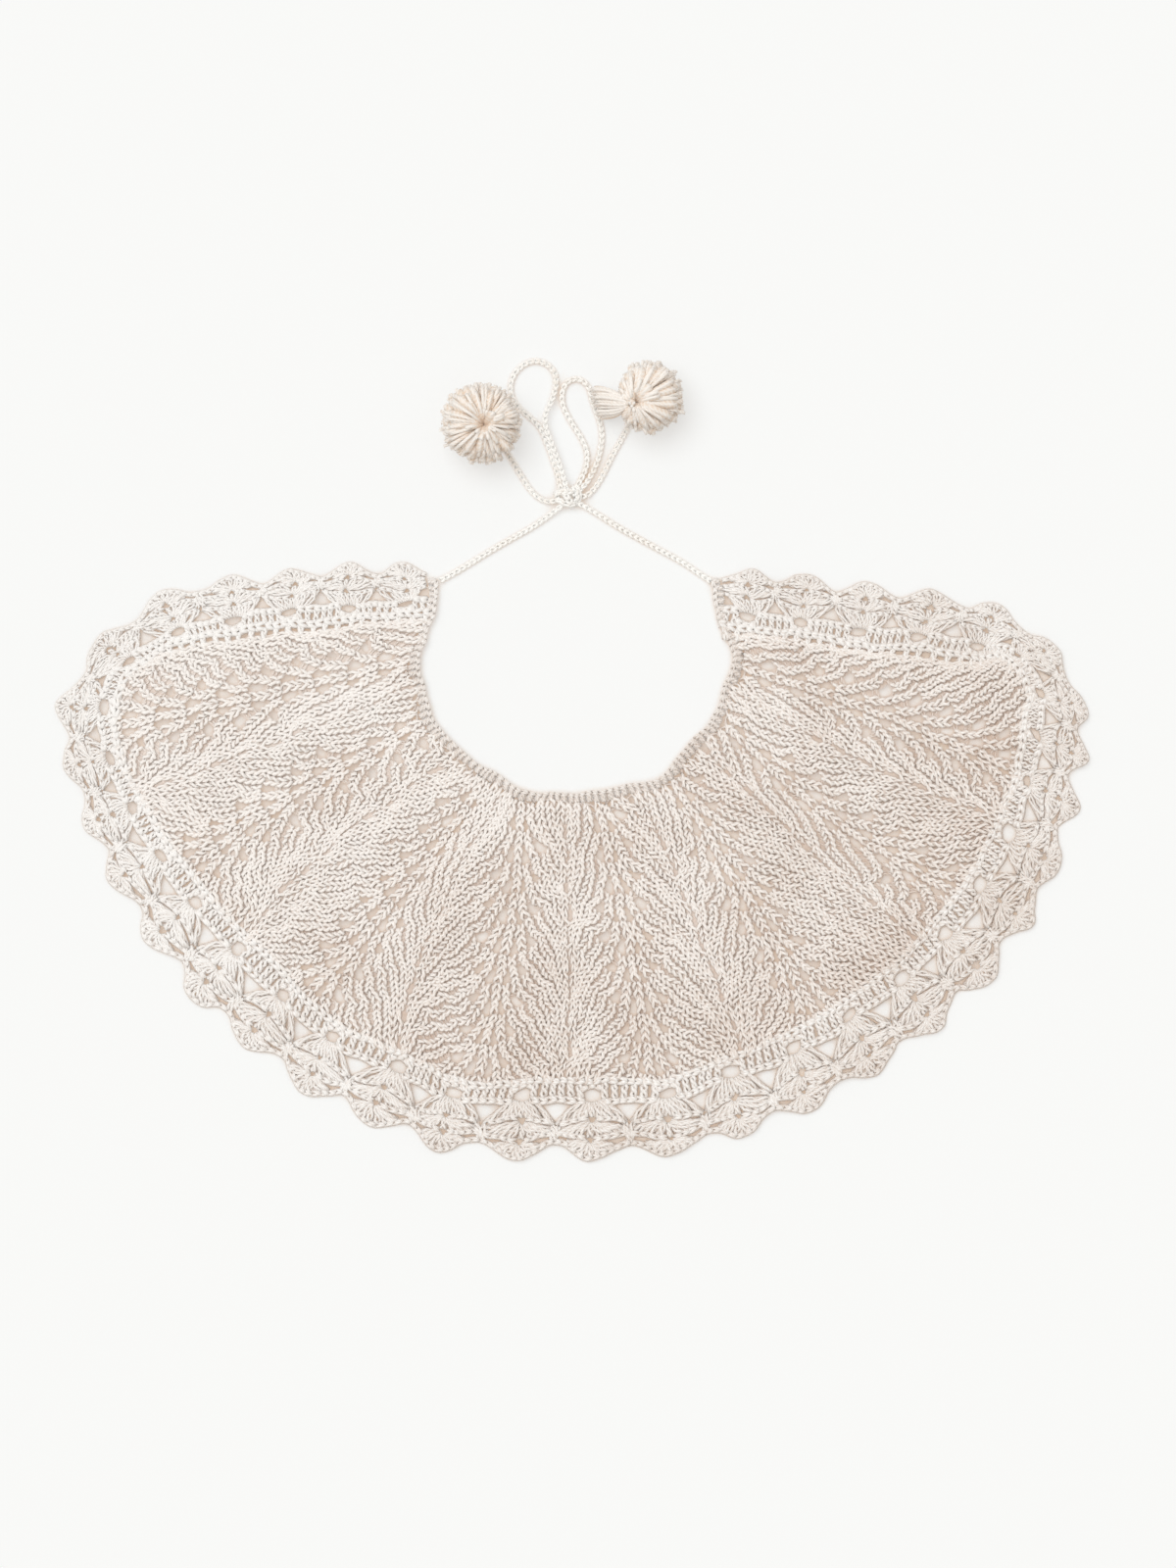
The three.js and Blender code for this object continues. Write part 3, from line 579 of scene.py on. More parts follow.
def cotton(name, light, dark, twist, patchy=PATCHY, pale=0.0):
    """Plied cotton yarn: its plies wind round each strand, and fine fibres cover it."""
    material, nodes, links, shader = new_material(name, roughness=0.85, shine=0.25)
    shader.inputs["Sheen Weight"].default_value = 0.25
    shader.inputs["Sheen Roughness"].default_value = 0.5

    def math_node(operation, first, second=None):
        node = nodes.new("ShaderNodeMath")
        node.operation = operation
        for socket, value in zip(node.inputs, (first, second)):
            if isinstance(value, (int, float)):
                socket.default_value = value
            elif value is not None:
                links.new(value, socket)
        return node.outputs[0]

    def plus(value, *terms):
        """A value plus some others, each times its share."""
        for other, share in terms:
            value = math_node("ADD", value, math_node("MULTIPLY", other, share))
        return value

    def noise(scale, detail):
        node = nodes.new("ShaderNodeTexNoise")
        node.inputs["Scale"].default_value = scale
        node.inputs["Detail"].default_value = detail
        links.new(place, node.inputs["Vector"])
        return node.outputs["Fac"]

    place = nodes.new("ShaderNodeTexCoord").outputs["Object"]
    strand = nodes.new("ShaderNodeAttribute")
    strand.attribute_name = ALONG
    split = nodes.new("ShaderNodeSeparateXYZ")
    links.new(strand.outputs["Vector"], split.inputs[0])
    turns = math_node("MULTIPLY", split.outputs["Y"], float(PLIES))
    winding = math_node("MULTIPLY", split.outputs["X"], 1 / twist)
    phase = math_node("MULTIPLY", math_node("ADD", turns, winding), 2 * math.pi)
    ply = math_node("MULTIPLY", math_node("ADD", math_node("COSINE", phase), 1.0), 0.5)
    height = plus(math_node("MULTIPLY", ply, PLY_HIGH), (noise(*FIBRES), FIBRE_HIGH))
    bump = nodes.new("ShaderNodeBump")
    bump.inputs["Strength"].default_value = 0.5
    bump.inputs["Distance"].default_value = 0.0002
    links.new(height, bump.inputs["Height"])
    links.new(bump.outputs["Normal"], shader.inputs["Normal"])

    # Painted shade: the deeper a place lies in the cloth, the darker its tone.
    shallow = math_node("SUBTRACT", 1.0, split.outputs["Z"])
    # Painted shade: the grooves between the plies are painted darker than their crests.
    tone = math_node("ADD", math_node("MULTIPLY", ply, PLY_SHADE_TONE), 0.5 * (PATCHY - patchy) + pale)
    tone = plus(tone, (noise(*PATCHES), patchy), (noise(*FLECKS), FLECK_TONE), (shallow, DEPTH_SHADE_TONE))
    # Painted light: the tone grows paler towards one side of the collar.
    drift = nodes.new("ShaderNodeVectorMath")
    drift.operation = "DOT_PRODUCT"
    drift.inputs[1].default_value = PAINTED_LIGHT_WAY
    links.new(place, drift.inputs[0])
    tone = math_node("ADD", tone, drift.outputs["Value"])
    colours = colour_ramp(nodes, (DARK_TONE, dark), (LIGHT_TONE, light))
    links.new(tone, colours.inputs["Fac"])
    links.new(colours.outputs["Color"], shader.inputs["Base Color"])
    return material


# Stitches along a path

GRAIN = np.array([
    # along its stitch, towards the middle, up, thickness
    (0.0, 1.0, -0.75, 0.72),
    (0.22, 0.98, 0.1, 0.95),
    (0.5, 0.72, 0.6, 1.05),
    (0.78, 0.36, 0.45, 0.95),
    (0.93, 0.42, -0.5, 0.7),
])
POST_FLAT = 0.6  # how high the winding of a post is, as a share of its width
CHAIN_CORE_BELOW = 0.6
POST_CORE_BELOW = 0.8


def chain(yarn, path, pitch, wide, radius, up=(0, 0, 1), high=None, core=0.0):
    """A row of chain stitches along a path: two rows of slanting legs, each from outside to inside, and
    two strands under them where core gives their radius."""
    path = np.asarray(path, float)
    high = radius if high is None else high
    along = path_lengths(path)
    stitches = max(1, round(along[-1] / pitch))
    places = (np.arange(stitches)[:, None] + GRAIN[:, 0]).ravel() / stitches * along[-1]
    inward, rise, swell = (np.tile(GRAIN[:, column], stitches) for column in (1, 2, 3))
    middle = np.stack([np.interp(places, along, path[:, axis]) for axis in range(3)], axis=1)
    side, above = ways_from(middle, up)
    half = (wide - 2 * radius) / 2
    for way in (-1, 1):
        leg = middle + side * (way * half * inward)[:, None] + above * (rise * high)[:, None]
        yarn.add(leg, radius * swell, up=above)
    if core:
        under = resample(path, max(4, 2 * stitches + 1))
        beside = unit(np.cross(np.gradient(under, axis=0), (0, 0, 1)))
        under[:, 2] -= CHAIN_CORE_BELOW
        for way in (-1, 1):
            yarn.add(under + way * core * beside, core, CORE_SIDES)


def post(yarn, route, radius, gap, places=6, rise=0.0, phase=0.0, core=0.0, grow=0.0):
    """A crochet post along a route from its foot to its head: two strands that wind round each other, and
    two straight ones under them where core gives their radius. It grows wider towards its head."""
    middle = resample(np.asarray(route, float), places)
    share = np.linspace(0, 1, places)
    middle[:, 2] += rise * np.sin(math.pi * share)
    side, above = ways_from(middle)
    angle = phase + 2 * math.pi * share
    offset = side * np.cos(angle)[:, None] + above * (POST_FLAT * np.sin(angle))[:, None]
    wide = 1 + grow * (2 * share - 1)
    for way in (-1, 1):
        yarn.add(middle + way * gap * wide[:, None] * offset, radius * (1 + (wide - 1) / 2), up=above)
    if core:
        under = resample(np.column_stack([middle, side]), 3)
        under, beside = under[:, :3], under[:, 3:]
        under[:, 2] -= POST_CORE_BELOW
        wide = core * (1 + grow * np.array([-1, 0, 1]))
        for way in (-1, 1):
            yarn.add(under + way * wide[:, None] * beside, wide, CORE_SIDES)


# The cords

CORD_YARN = 0.62  # the radius of a strand of the cords
CORD_TOP = 0.9  # the surface of a cord, above its centre, from which its painted shade is measured
CORD_GROOVE = 5
CORD_PITCH = 3.1
CORD_STEP = 1.6  # between two places on a cord's route
BACK_BELOW = 0.75  # how far the strand of a cord's back lies under its middle
BACK_DOWN, BACK_ASIDE = 0.15, 0.35  # how far that strand winds down and to the sides


def cord_route(name):
    rough = spline(ROUTES[name], 200)
    return resample(rough, max(24, round(path_lengths(rough)[-1] / CORD_STEP)))


def make_cord(name, material, with_pieces):
    """A crocheted cord: a row of chain stitches, with the bumps of its back under it."""
    path = cord_route(name)
    yarn = Yarn(path[:, 2].max() + CORD_TOP, rippled=False, groove=CORD_GROOVE)
    chain(yarn, path, CORD_PITCH, wide=3.3, radius=CORD_YARN + 0.12, high=0.55)
    back = path.copy()
    wave = 2 * math.pi * path_lengths(path) / CORD_PITCH
    back[:, 2] -= BACK_BELOW + BACK_DOWN * np.cos(wave)
    side = ways_from(path)[0]
    back += side * (BACK_ASIDE * np.sin(wave))[:, None]
    yarn.add(back, CORD_YARN)
    piece = yarn.piece(name + "_crochet", material, name, "cord")
    round(path_lengths(path)[-1] * MM, 4)
    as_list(with_pieces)


KNOT_PITCH = 3.0
KNOT_TOP = 3.4  # the surface of the knot, above its place, from which its painted shade is measured
KNOT_GROOVE = 2.4
KNOT_TURNS = [
    # each turn's route, as places from the knot's own: x, y, z
    [(-2.4, 4.2, -2.4), (-2.2, 3.0, 0.6), (-0.6, 0.4, 2.6), (1.4, -2.6, 1.0), (2.2, -4.4, -2.2)],
    [(-6.6, 1.6, -2.4), (-5.0, 2.8, 0.2), (-1.6, 3.2, 1.7), (1.8, 3.0, 0.8), (4.0, 1.2, -1.6)],
    [(-5.4, -0.6, -2.4), (-3.6, -1.4, 0.2), (-0.6, -2.8, 0.9), (3.0, -2.6, 0.4), (4.8, -0.2, -2.0)],
    [(3.2, -3.0, -2.2), (5.0, -0.6, 0.2), (5.4, 2.2, 0.8), (3.6, 4.4, -0.4), (1.6, 5.2, -2.2)],
]


def make_knot(material):
    """The middle of the bow: turns of cord over and round each other."""
    yarn = Yarn(KNOT[2] + KNOT_TOP, rippled=False, groove=KNOT_GROOVE)
    for turn in KNOT_TURNS:
        route = spline(np.array(turn) + KNOT, 24)
        stitches = round(path_lengths(route)[-1] / KNOT_PITCH)
        outward = resample(unit(route - KNOT - (0, 0, -3)), len(GRAIN) * stitches)
        chain(yarn, route, KNOT_PITCH, wide=3.6, radius=CORD_YARN + 0.2, up=outward, high=0.55, core=0.9)
    return yarn.piece("bow_knot_turns", material, "bow_knot", "cord")


# The pompoms

STRAND = np.array([
    # share of the way from the tie to the tip, radius
    (0.02, 0.5),
    (0.16, 0.7),
    (0.36, 0.8),
    (0.6, 0.88),
    (0.84, 0.95),
    (1.0, 0.95),
])
STRAND_TOP = 0.6  # how far a pompom's surface lies over the middle of its upper strands, from which their painted shade is measured
POMPOM_STRANDS = 1.095  # for each square millimetre of its radius squared
POMPOM_CLUMPS = 17  # how many bunches the strands of a pompom gather in
CLUMP_PULL = 0.25
UPPER_LAYERS = 1.25  # over 1, more of the strands lie in the upper layers
BALL_ROUND = 0.62  # how much the rim draws in towards the top and the bottom
BALL_HIGH = 0.95
DOME_STEEP, DOME_DROP = 2.2, 0.5  # how fast a strand climbs from its tie, and how far its tip drops
SHORTER_AT_TUFT = 0.22
POMPOM_LOWEST = 1.1
POMPOM_OFF_FLOOR = 0.4
POMPOM_WANDER = 0.045  # how far the strands' tips stray, per radius
HEADING_WANDER = 0.2  # how far their headings stray, in radians
# The least and most of the strands' reach, height and width, as shares of even ones, of the length of the
# ones cut short, and of how much more painted shade each gets
REACHES, HEIGHTS, WIDTHS, STUBS, EXTRA_SHADES = (0.92, 1.0), (0.85, 1.03), (0.8, 1.2), (0.3, 0.75), (-0.1, 0.25)
# A pompom's strands are painted darker the deeper they lie inside it: painted shade.
POMPOM_GROOVE = 6
POMPOM_SHADE_RATE = 3.2  # how fast the painted shade on its strands grows towards its inside, by layer
POMPOM_SHADE_MOST = 0.8
STUBS_FROM, STUB_APART = 0.84, 4  # above this layer one strand in four is cut short
PACKED_APART = 3  # one strand in three has a thick one packed inside it, nearer the middle
PACKED_WIDE = 2.3
PACKED_NEARER = (0.93, 0.93, 0.88)  # how far from the middle it lies, per the strand's own: x, y, z
TUFT_STRANDS = 70
TUFT_RADII = (0.5, 0.7, 0.75, 0.8, 0.85, 0.85, 0.85, 0.85, 0.8)  # of a strand, from its tie to its tip
TUFT_WANDER = 0.35


def pompom_strands(sizes, middle, tie, random):
    """The paths of a pompom's strands from the tie to the rim, the layer of each, from 1 at the top to -1
    at the bottom, and the height of the surface that each lies in."""
    radius, half = sizes["radius"], sizes["high"] / 2
    count = round(POMPOM_STRANDS * radius ** 2)
    order = np.arange(count)
    along = STRAND[:, 0]
    layer = 1 - 2 * ((order + 0.5) / count) ** UPPER_LAYERS
    heading = order * math.pi * (3 - math.sqrt(5)) + random.normal(0, HEADING_WANDER, count)
    heading -= CLUMP_PULL / POMPOM_CLUMPS * np.sin(POMPOM_CLUMPS * heading + 2 * layer)
    reach = radius * np.sqrt(1 - (BALL_ROUND * layer) ** 2) * random.uniform(*REACHES, count)
    if "tuft" in sizes:
        reach *= 1 - SHORTER_AT_TUFT * np.clip(-np.cos(heading), 0, 1) ** 2
    ends = middle[:2] + reach[:, None] * np.stack([np.cos(heading), np.sin(heading)], axis=1)
    flat = mix(tie[:2], ends[:, None, :], along[:, None])
    dome = np.sin(math.pi / 2 * np.minimum(1, DOME_STEEP * along)) * (1 - DOME_DROP * along ** 2)
    high = middle[2] + BALL_HIGH * half * layer[:, None] * dome * random.uniform(*HEIGHTS, (count, 1))
    # Painted shade: lower strands, nearer the inside, are painted darker, less so towards their tips.
    inside = (POMPOM_SHADE_RATE * (1 - layer) + random.uniform(*EXTRA_SHADES, count))[:, None]
    inside = np.clip(inside, 0, POMPOM_SHADE_MOST) * (1 - 0.9 * along ** 2)
    return raised(flat, high), layer, high + STRAND_TOP + POMPOM_GROOVE * inside


def cut_some_short(paths, layer, random):
    """Shortens some strands of the upper layers, whose tips stand up over the others."""
    along = STRAND[:, 0]
    stubs = np.flatnonzero(layer > STUBS_FROM)[::STUB_APART]
    for row, length in zip(stubs, random.uniform(*STUBS, len(stubs))):
        for axis in range(3):
            paths[row, :, axis] = np.interp(along * length, along, paths[row, :, axis])
    paths[stubs, :, 2] += 1.6 * (0.3 + along)


def make_pompom(name, material, seed):
    """A pompom: strands tied in its middle, that spread over each other in layers to a round rim."""
    sizes = POMPOMS[name]
    random = np.random.default_rng(seed)
    middle = np.array((sizes["x"], sizes["y"], sizes["high"] / 2 + POMPOM_OFF_FLOOR))
    tie = middle + (sizes["tie_x"], sizes["tie_y"], 0)
    paths, layer, surface = pompom_strands(sizes, middle, tie, random)
    cut_some_short(paths, layer, random)
    along, radius = STRAND.T
    stray = (along ** 2)[:, None]
    paths = paths + random.normal(0, POMPOM_WANDER * sizes["radius"], (len(paths), 1, 3)) * stray
    width = radius * random.uniform(*WIDTHS, (len(paths), 1))
    paths[..., 2] = np.maximum(paths[..., 2], POMPOM_LOWEST)
    yarn = Yarn(0, rippled=False, groove=POMPOM_GROOVE, shade_fades_below=False)
    yarn.add(paths, width, top=surface)
    # The packed strands get deep painted shade.
    packed = mix(middle, paths[::PACKED_APART], np.array(PACKED_NEARER))
    deep = packed[..., 2] + 0.8 * POMPOM_GROOVE
    yarn.add(packed, PACKED_WIDE * width[::PACKED_APART], top=deep)
    if "tuft" in sizes:
        add_tuft(yarn, sizes, tie, random)
    return yarn.piece(name + "_yarn", material, name, "pompom")


def add_tuft(yarn, sizes, tie, random):
    """Adds the strands that have flopped away from the ball."""
    tuft = sizes["tuft"]
    order = np.arange(TUFT_STRANDS)
    layer = (order + 0.5) / TUFT_STRANDS
    side = 2 * (order * 0.618 % 1) - 1 + random.normal(0, 0.05, TUFT_STRANDS)
    left = tuft["x"] - tuft["long"] / 2 + 2.4 * (1 - side) + random.uniform(0, 4.5, TUFT_STRANDS)
    y = tuft["y"] + 0.45 * tuft["wide"] * side
    round_end = np.sqrt(1 - np.minimum(0.8 * side ** 2, 0.8))
    low, high = tuft["z"] - 0.4 * tuft["high"], tuft["z"] + 0.4 * tuft["high"] * round_end
    end = np.stack([left, y, mix(low, high, layer)], axis=1)
    fall = end + (0.22 * tuft["long"], 0, 0.6 * tuft["high"])
    across = np.stack([0 * y, 0.9 * (y - tuft["y"]), 0 * y], axis=1)
    shoulder = tie + (-0.42 * sizes["radius"], 0, 0) + across
    shoulder[:, 2] = sizes["high"] * mix(0.45, 0.86, layer * round_end)
    start = np.broadcast_to(tie + (0, 0, 0.3 * sizes["high"]), end.shape)
    steps = np.linspace(0, 1, len(TUFT_RADII))
    rows = [
        (1 - s) ** 3 * start + 3 * s * (1 - s) ** 2 * shoulder + 3 * s * s * (1 - s) * fall + s ** 3 * end
        for s in steps
    ]
    paths = np.stack(rows, axis=1)
    paths += random.normal(0, TUFT_WANDER, (TUFT_STRANDS, 1, 3)) * (steps ** 2)[:, None]
    # Painted shade: the tuft's lower strands are painted darker.
    inside = (1 - layer + random.uniform(*EXTRA_SHADES, TUFT_STRANDS))[:, None]
    surface = paths[..., 2] + STRAND_TOP + POMPOM_GROOVE * np.clip(inside, 0, 0.85) * (1 - 0.5 * steps)
    yarn.add(paths, TUFT_RADII, top=surface)


# The knitted yoke

GORES = 8
BLOCK = 4  # courses from one row of eyelets to the next
COURSES = 37  # along a lace line, from the neck to the hem
STITCH_WIDE = 4.3
EASE = (0.0, 0.12, 0.32, 0.62)  # how much of a block's sideways shift each course has
LEAN = 0.55  # how far the ribs run ahead of the lace lines, per width of half a gore
LOOP_SPREAD = 0.285  # how far a loop's head is wider than its foot, per stitch
LOOP_HIGH = 0.86  # half a loop's height, per course
WALE_WIDE = 4.9  # a wale is no wider than this, also where an eyelet opens beside it
YOKE_MIDDLE = 1.5  # the height of the cloth's middle above its underside
LOOP_DEEP = 0.95
WEB_THICK = 0.4
WEB_HIGH = 1.15  # the height of the web's middle above the cloth's underside
WEB_SAG = 0.6  # how much lower it lies between two wales
WEB_SHADE = 0.85  # how much painted shade the web gets, as a share of a full groove's
EYELET_EDGE = 0.31  # how far the web reaches into an eyelet from each side
LOOP_PLACES = 10
LOOP_WANDER = 0.12  # how far each loop lies from its even place, with half of it up and down
LEG_SWELL = 0.15  # how much thicker a loop's legs are than its head and foot
LEG_MOVE = (0.16, 0.16, 0.14)  # how far each leg of a loop lies from its even place: x, y, z
FRESH_FOOT = -0.45  # a yarn over has no foot: its strand bridges an eyelet
FRESH_SPREAD = 0.1
EYELET_PULL = 0.55  # how much further an eyelet pulls the strand above it, per course
FIRST_COURSE, LAST_COURSE = -2, COURSES + 12
FEWEST_WALES = 4
TWO_FRESH_FROM = 6  # half a gore of so many wales or more gets two yarn overs in each block, not one
YOKE_FROM, YOKE_TO = 0.005, 1.01  # how far down the first and last stitches may lie


def half_gore_width(lace, side, down):
    return np.linalg.norm(yoke_point(lace, down) - yoke_point(lace + side, down), axis=-1)


def wale_table(lace, side):
    """For half a gore: how many wales each block has, and where each wale goes in the next block."""
    blocks = math.ceil((LAST_COURSE - FIRST_COURSE) / BLOCK) + 2
    middles = np.clip((np.arange(blocks) - 0.5) * BLOCK / COURSES, 0.02, 1)
    widths = half_gore_width(lace, side, middles)
    counts = [max(FEWEST_WALES, round(width / STITCH_WIDE)) for width in widths]
    for block in range(1, blocks):
        counts[block] = min(max(counts[block], counts[block - 1]), counts[block - 1] + 1)
    goes_to = []
    for now, later in zip(counts, counts[1:]):
        fresh = 2 if now >= TWO_FRESH_FROM else 1
        places = [wale + min(wale, fresh) for wale in range(now)]
        lost = now + fresh - later
        first = now + fresh - 2 * lost
        goes_to.append([place if place < first else first + (place - first) // 2 for place in places])
    return counts, goes_to


def half_course(table, course):
    """The wales of one course of half a gore, from the lace line outwards: the place of each as a share of
    the way to the rib, its places in the course before and after, whether it starts here, and its number
    in the next course."""
    block, step = divmod(course + BLOCK, BLOCK)
    counts, goes_to = table

    def share_at(block, step, wale):
        here = wale / (counts[block] - 0.5)
        there = goes_to[block][wale] / (counts[block + 1] - 0.5)
        return mix(here, there, EASE[step])

    rows = []
    for wale in range(counts[block]):
        here = share_at(block, step, wale)
        before, fresh = here, False
        if step > 0:
            before = share_at(block, step - 1, wale)
        elif block > 0 and wale in goes_to[block - 1]:
            before = share_at(block - 1, BLOCK - 1, goes_to[block - 1].index(wale))
        else:
            fresh = block > 0
        if step < BLOCK - 1:
            later, after = wale, share_at(block, step + 1, wale)
        else:
            later = goes_to[block][wale]
            after = share_at(block + 1, 0, later)
        rows.append((here, before, after, fresh, later))
    return rows


def rib_leads(rib):
    """How far ahead of the lace lines the courses run at a rib, at a row of levels from neck to hem."""
    levels = np.linspace(0, 1.2, 13)
    leads = []
    for lace, side in ((rib - 1, 1), (rib + 1, -1)):
        if 0 < lace < LAST_LINE:
            depth = np.linalg.norm(yoke_point(lace, 0) - yoke_point(lace, 1))
            leads.append(LEAN * half_gore_width(lace, side, np.minimum(levels, 1)) / depth)
    return levels, np.mean(leads, axis=0)


def course_down(leads, course, share):
    """How far down the yoke a course lies: it runs ahead of the lace line towards the ribs."""
    level = (course + 0.6) / COURSES
    ahead = share * share * (3 - 2 * share)
    return level - np.interp(level, *leads) * ahead


def gore_courses(gore):
    """The stitches of one gore, course by course, from rib to rib. A stitch has its place on the yoke, those
    of the stitches before and after it on its wale, whether it starts there, its wale's number, counted
    from the lace line, and that wale's number in the next course."""
    lace = 2 * gore + 1
    halves = [(side, wale_table(lace, side), rib_leads(lace + side)) for side in (-1, 1)]
    courses = []
    for course in range(FIRST_COURSE, LAST_COURSE):
        stitches = []
        for side, table, leads in halves:
            half = []
            for wale, (here, before, after, fresh, later) in enumerate(half_course(table, course)):
                places = [
                    (lace + side * share, course_down(leads, course + step, share))
                    for step, share in ((0, here), (-1, before), (1, after))
                ]
                half.append({"places": places, "fresh": fresh, "wale": side * wale, "later": side * later})
            stitches = stitches + half if side > 0 else half[:0:-1]
        courses.append(stitches)
    return courses


def on_yoke(stitch):
    return YOKE_FROM < stitch["places"][0][1] < YOKE_TO


def runs_inside(stitches):
    """Runs of neighbouring stitches that lie on the yoke."""
    run = []
    for stitch in [*stitches, None]:
        if stitch and on_yoke(stitch):
            run.append(stitch)
            continue
        if len(run) > 1:
            yield run
        run = []


def loop_places(run, random):
    """The place of each stitch of a run, and the ways from it to the next and the last on its wale."""
    parts = [np.array([stitch["places"][which] for stitch in run]) for which in range(3)]
    here, before, after = (yoke_place(*part.T, YOKE_MIDDLE) for part in parts)
    here = here + random.normal(0, LOOP_WANDER, here.shape) * (1, 1, 0.5)
    up, back = after - here, before - here
    fresh = [stitch["fresh"] for stitch in run]
    back[fresh] = -up[fresh]
    return here, up, back


def loop_path(run, random):
    """The yarn's path through a run of stitches, its radius, and the height of the cloth's surface."""
    here, up, back = loop_places(run, random)
    fresh = np.array([stitch["fresh"] for stitch in run])
    opens = [opens_between(one, other) for one, other in zip(run, run[1:])]
    count = len(run)
    turn = 2 * math.pi * np.arange(LOOP_PLACES) / LOOP_PLACES
    shift = turn / (2 * math.pi) - 0.5
    on_left = shift < 0
    gaps = np.diff(here, axis=0)
    left = np.concatenate([gaps[:1], gaps])
    right = np.concatenate([gaps, gaps[-1:]])
    side = np.where(on_left[:, None], left[:, None], right[:, None])
    index = np.arange(count)[:, None]
    neighbour = np.where(on_left, np.maximum(index - 1, 0), np.minimum(index + 1, count - 1))
    pulled = np.where(on_left, np.array([[False, *opens]]).T, np.array([[*opens, False]]).T)
    foot = np.where(fresh, FRESH_FOOT, LOOP_HIGH)
    shared = (foot[:, None] + foot[neighbour]) / 2 + EYELET_PULL * pulled
    amount = mix(foot[:, None], shared, np.clip(4 * np.abs(shift) - 1, 0, 1))
    down_way = mix(back[:, None], back[neighbour], np.abs(shift)[:, None])
    level = -np.cos(turn)
    below, above = (amount * -level)[..., None], (LOOP_HIGH * level)[:, None]
    vertical = np.where(level[:, None] < 0, down_way * below, up[:, None] * above)
    spread = np.where(fresh, FRESH_SPREAD, LOOP_SPREAD)
    sway = spread[:, None] * np.sin(2 * turn)
    squeeze = np.minimum(1, WALE_WIDE / np.maximum(np.linalg.norm(side, axis=2), 1e-6))
    squeeze[:, 0] = 1
    path = here[:, None] + side * ((shift + sway) * squeeze)[..., None] + vertical
    # the cloth's surface, from which the knit's painted shade is measured
    surface = path[..., 2] + LOOP_DEEP + YARN / 2
    path[..., 2] -= LOOP_DEEP * np.cos(2 * turn)
    own = random.normal(0, 1, (count, 2, 3)) * LEG_MOVE
    path += own[:, (turn > math.pi).astype(int)] * (np.sin(turn) ** 2)[:, None]
    wide = np.linalg.norm(side, axis=2) * squeeze / STITCH_WIDE
    radius = YARN / 2 * np.clip(wide, 0.85, 1.25) * (1 - LEG_SWELL * np.cos(2 * turn))
    last = here[-1] + right[-1] * 0.5 + back[-1] * LOOP_HIGH
    last[2] -= LOOP_DEEP
    path = np.concatenate([path.reshape(-1, 3), last[None]])
    return path, np.append(radius.ravel(), radius[-1, 0]), np.append(surface.ravel(), surface[-1, -1])


def opens_between(one, other):
    """Whether an eyelet opens over two neighbouring stitches."""
    return abs(other["later"] - one["later"]) > 1


def make_yoke(material):
    """The knitting, in pieces of two gores each."""
    pieces = []
    for part in range(GORES // 2):
        random = np.random.default_rng(100 + part)
        yarn = Yarn(0)
        for gore in (2 * part, 2 * part + 1):
            for stitches in gore_courses(gore):
                for run in runs_inside(stitches):
                    path, radius, surface = loop_path(run, random)
                    yarn.add(path, radius, top=surface)
        pieces.append(yarn.piece("yoke_knit_%d" % (part + 1), material, "knit_yoke", "knit"))
    return pieces


def web_faces():
    """The web's faces, each as its corners: a place on the yoke, and how much lower the web is there."""
    for gore in range(GORES):
        courses = gore_courses(gore)
        ribs = (2 * gore, 2 * gore + 2)
        leads = [rib_leads(rib) for rib in ribs]
        for index, (stitches, following) in enumerate(zip(courses, courses[1:])):
            by_wale = {stitch["wale"]: stitch for stitch in following}
            for one, other in zip(stitches, stitches[1:]):
                later = [by_wale.get(stitch["later"]) for stitch in (one, other)]
                if None in later or not (on_yoke(one) and on_yoke(other)):
                    continue
                opens = opens_between(one, other) or (index + 2 < len(courses) and opens_between(*later))
                corners = [np.array(stitch["places"][0]) for stitch in (one, other, *later)]
                reach = EYELET_EDGE if opens else 0.5
                for low, high in ((0, reach), (1 - reach, 1)):
                    rim = [(mix(corners[0], corners[1], share), share) for share in (low, high)]
                    rim += [(mix(corners[2], corners[3], share), share) for share in (high, low)]
                    yield [(spot, WEB_SAG * (0 < share < 1)) for spot, share in rim]
            for end in (0, -1):
                if on_yoke(stitches[end]):
                    spots = [stitches[end]["places"][0], following[end]["places"][0]]
                    for course in (FIRST_COURSE + index + 1, FIRST_COURSE + index):
                        spots.append((ribs[end], course_down(leads[end], course, 1.0)))
                    yield [(spot, 0.0) for spot in spots]


def make_web(material):
    """A thin sheet of fibres between the stitches, open at the eyelets, painted dark tan as painted shade.
    """
    numbers, sags, faces = {}, [], []
    for corners in web_faces():
        face = []
        for spot, sag in corners:
            key = (round(spot[0], 4), round(spot[1], 4))
            if key not in numbers:
                numbers[key] = len(numbers)
                sags.append(sag)
            face.append(numbers[key])
        faces.append(list(dict.fromkeys(face)))
    across, down = np.array(list(numbers)).T
    places = ripple(yoke_place(across, np.clip(down, 0, 1), WEB_HIGH - np.array(sags)))
    mesh = bpy.data.meshes.new("yoke_web")
    mesh.from_pydata((places * MM).tolist(), [], [face for face in faces if len(face) > 2])
    mesh.update()
    # Painted shade: the whole web is painted nearly as dark as the cloth's deepest grooves.
    depth = mesh.attributes.new(ALONG, "FLOAT_VECTOR", "CORNER")
    depth.data.foreach_set("vector", np.tile((0.0, 0.0, WEB_SHADE), len(mesh.loops)))
    web = stand_in(mesh, material, "knit_yoke")
    thick = web.modifiers.new("thickness", "SOLIDIFY")
    thick.thickness = WEB_THICK * MM
    thick.offset = 0
    return web


# The crocheted border

